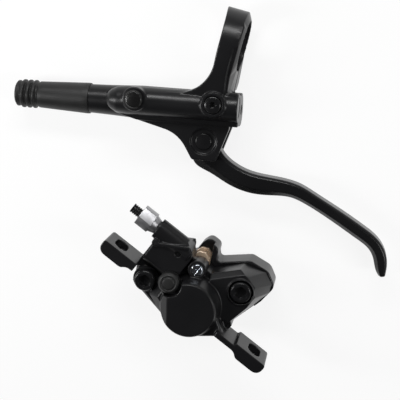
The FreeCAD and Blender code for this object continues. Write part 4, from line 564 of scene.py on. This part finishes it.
def add_softbox(name, place, size, power):
    """Rectangular lamp that faces the brake."""
    deselect_all()
    bpy.ops.object.light_add(type="AREA", location=[value * MM for value in place])
    lamp = bpy.context.object
    lamp.name = name
    lamp.data.shape = "RECTANGLE"
    lamp.data.size = size[0] * MM
    lamp.data.size_y = size[1] * MM
    lamp.data.energy = power
    look_at(lamp, [value * MM for value in SOFTBOX_TARGET])


def stage_floor(floor_color):
    """White floor that glows for the camera and in mirrored light, and keeps the brake's shadow."""
    deselect_all()
    bpy.ops.mesh.primitive_plane_add(size=FLOOR_METRES, location=FLOOR_MIDDLE)
    floor = bpy.context.object
    floor.name = "floor"
    bpy.ops.object.transform_apply(location=True, rotation=True, scale=True)
    material = new_material("floor_white")
    tree = material.node_tree
    shader = tree.nodes["Principled BSDF"]
    shader.inputs["Base Color"].default_value = (*floor_color, 1.0)
    shader.inputs["Roughness"].default_value = 0.9
    shader.inputs["Specular IOR Level"].default_value = 0.0
    glow = tree.nodes.new("ShaderNodeEmission")
    glow.inputs["Color"].default_value = (1.0, 1.0, 1.0, 1.0)
    ray = tree.nodes.new("ShaderNodeLightPath")
    seen = tree.nodes.new("ShaderNodeMath")
    seen.operation = "MAXIMUM"
    mirrored = tree.nodes.new("ShaderNodeMath")
    mirrored.operation = "MAXIMUM"
    tree.links.new(ray.outputs["Is Camera Ray"], seen.inputs[0])
    tree.links.new(ray.outputs["Is Transmission Ray"], mirrored.inputs[0])
    tree.links.new(ray.outputs["Is Glossy Ray"], mirrored.inputs[1])
    tree.links.new(mirrored.outputs["Value"], seen.inputs[1])
    share = tree.nodes.new("ShaderNodeMath")
    share.operation = "MULTIPLY"
    share.inputs[1].default_value = FLOOR_GLOW
    tree.links.new(seen.outputs["Value"], share.inputs[0])
    mix = tree.nodes.new("ShaderNodeMixShader")
    tree.links.new(share.outputs["Value"], mix.inputs["Fac"])
    tree.links.new(shader.outputs["BSDF"], mix.inputs[1])
    tree.links.new(glow.outputs["Emission"], mix.inputs[2])
    tree.links.new(mix.outputs["Shader"], tree.nodes["Material Output"].inputs["Surface"])
    floor.data.materials.append(material)


def stage_world(scene):
    """Light round the brake: brighter low down, nearly dark overhead."""
    world = bpy.data.worlds.new("studio")
    scene.world = world
    world.use_nodes = True
    tree = world.node_tree
    back = tree.nodes["Background"]
    back.inputs["Color"].default_value = (1.0, 1.0, 1.0, 1.0)
    place = tree.nodes.new("ShaderNodeTexCoord")
    split = tree.nodes.new("ShaderNodeSeparateXYZ")
    level = tree.nodes.new("ShaderNodeMapRange")
    level.inputs["From Min"].default_value, level.inputs["From Max"].default_value = WORLD_HEIGHTS
    level.inputs["To Min"].default_value, level.inputs["To Max"].default_value = WORLD_LEVELS
    tree.links.new(place.outputs["Generated"], split.inputs["Vector"])
    tree.links.new(split.outputs["Z"], level.inputs["Value"])
    tree.links.new(level.outputs["Result"], back.inputs["Strength"])


def stage_camera(scene):
    """Camera of the photograph."""
    camera_data = bpy.data.cameras.new("camera")
    camera_data.sensor_width = SENSOR_WIDTH
    camera_data.lens = FOCAL_PIXELS / PICTURE_WIDTH * SENSOR_WIDTH
    camera_data.clip_start = 0.01
    camera_data.clip_end = 10.0
    camera = bpy.data.objects.new("camera", camera_data)
    scene.collection.objects.link(camera)
    across = Vector((1.0, 0.0, 0.0))
    away = Vector((0.0, math.cos(CAMERA_TILT), -math.sin(CAMERA_TILT)))
    sight = Vector((0.0, -math.sin(CAMERA_TILT), -math.cos(CAMERA_TILT)))
    right = math.cos(CAMERA_SPIN) * across + math.sin(CAMERA_SPIN) * away
    up = math.cos(CAMERA_SPIN) * away - math.sin(CAMERA_SPIN) * across
    turn = Matrix((right, up, -sight)).transposed()
    camera.matrix_world = Matrix.Translation(CAMERA_PLACE) @ turn.to_4x4()
    scene.camera = camera


class BRAKE_OT_stage(bpy.types.Operator):
    """Floor, backdrop, lamps and the photograph's camera"""
    bl_idname = "brake.stage"
    bl_label = "Stage"

    def execute(self, context):
        settings = context.scene.brake
        stage_floor(settings.floor_color)
        stage_world(context.scene)
        for name, (place, size, share) in SOFTBOXES.items():
            add_softbox(name, place, size, settings.lamp_power * share)
        stage_camera(context.scene)
        context.scene.view_settings.view_transform = "Standard"
        return {"FINISHED"}


class BRAKE_PT_panel(bpy.types.Panel):
    """Lists the steps in order"""
    bl_idname = "BRAKE_PT_panel"
    bl_label = "Hydraulic disc brake"
    bl_space_type = "VIEW_3D"
    bl_region_type = "UI"
    bl_category = "Brake"

    def draw(self, context):
        for name in BrakeSettings.__annotations__:
            self.layout.prop(context.scene.brake, name)
        for step in STEPS:
            self.layout.operator(step.bl_idname)


STEPS = (BRAKE_OT_finishes, BRAKE_OT_castings, BRAKE_OT_blade, BRAKE_OT_bolts, BRAKE_OT_fittings,
         BRAKE_OT_rubber, BRAKE_OT_pads, BRAKE_OT_stage)
CLASSES = (BrakeSettings,) + STEPS + (BRAKE_PT_panel,)


def register():
    for item in CLASSES:
        bpy.utils.register_class(item)
    bpy.types.Scene.brake = PointerProperty(type=BrakeSettings)


def unregister():
    del bpy.types.Scene.brake
    for item in reversed(CLASSES):
        bpy.utils.unregister_class(item)


def main():
    register()
    bpy.ops.brake.finishes()
    bpy.ops.brake.castings()
    bpy.ops.brake.blade()
    bpy.ops.brake.bolts()
    bpy.ops.brake.fittings()
    bpy.ops.brake.rubber()
    bpy.ops.brake.pads()
    bpy.ops.brake.stage()


if __name__ == "__main__":
    main()
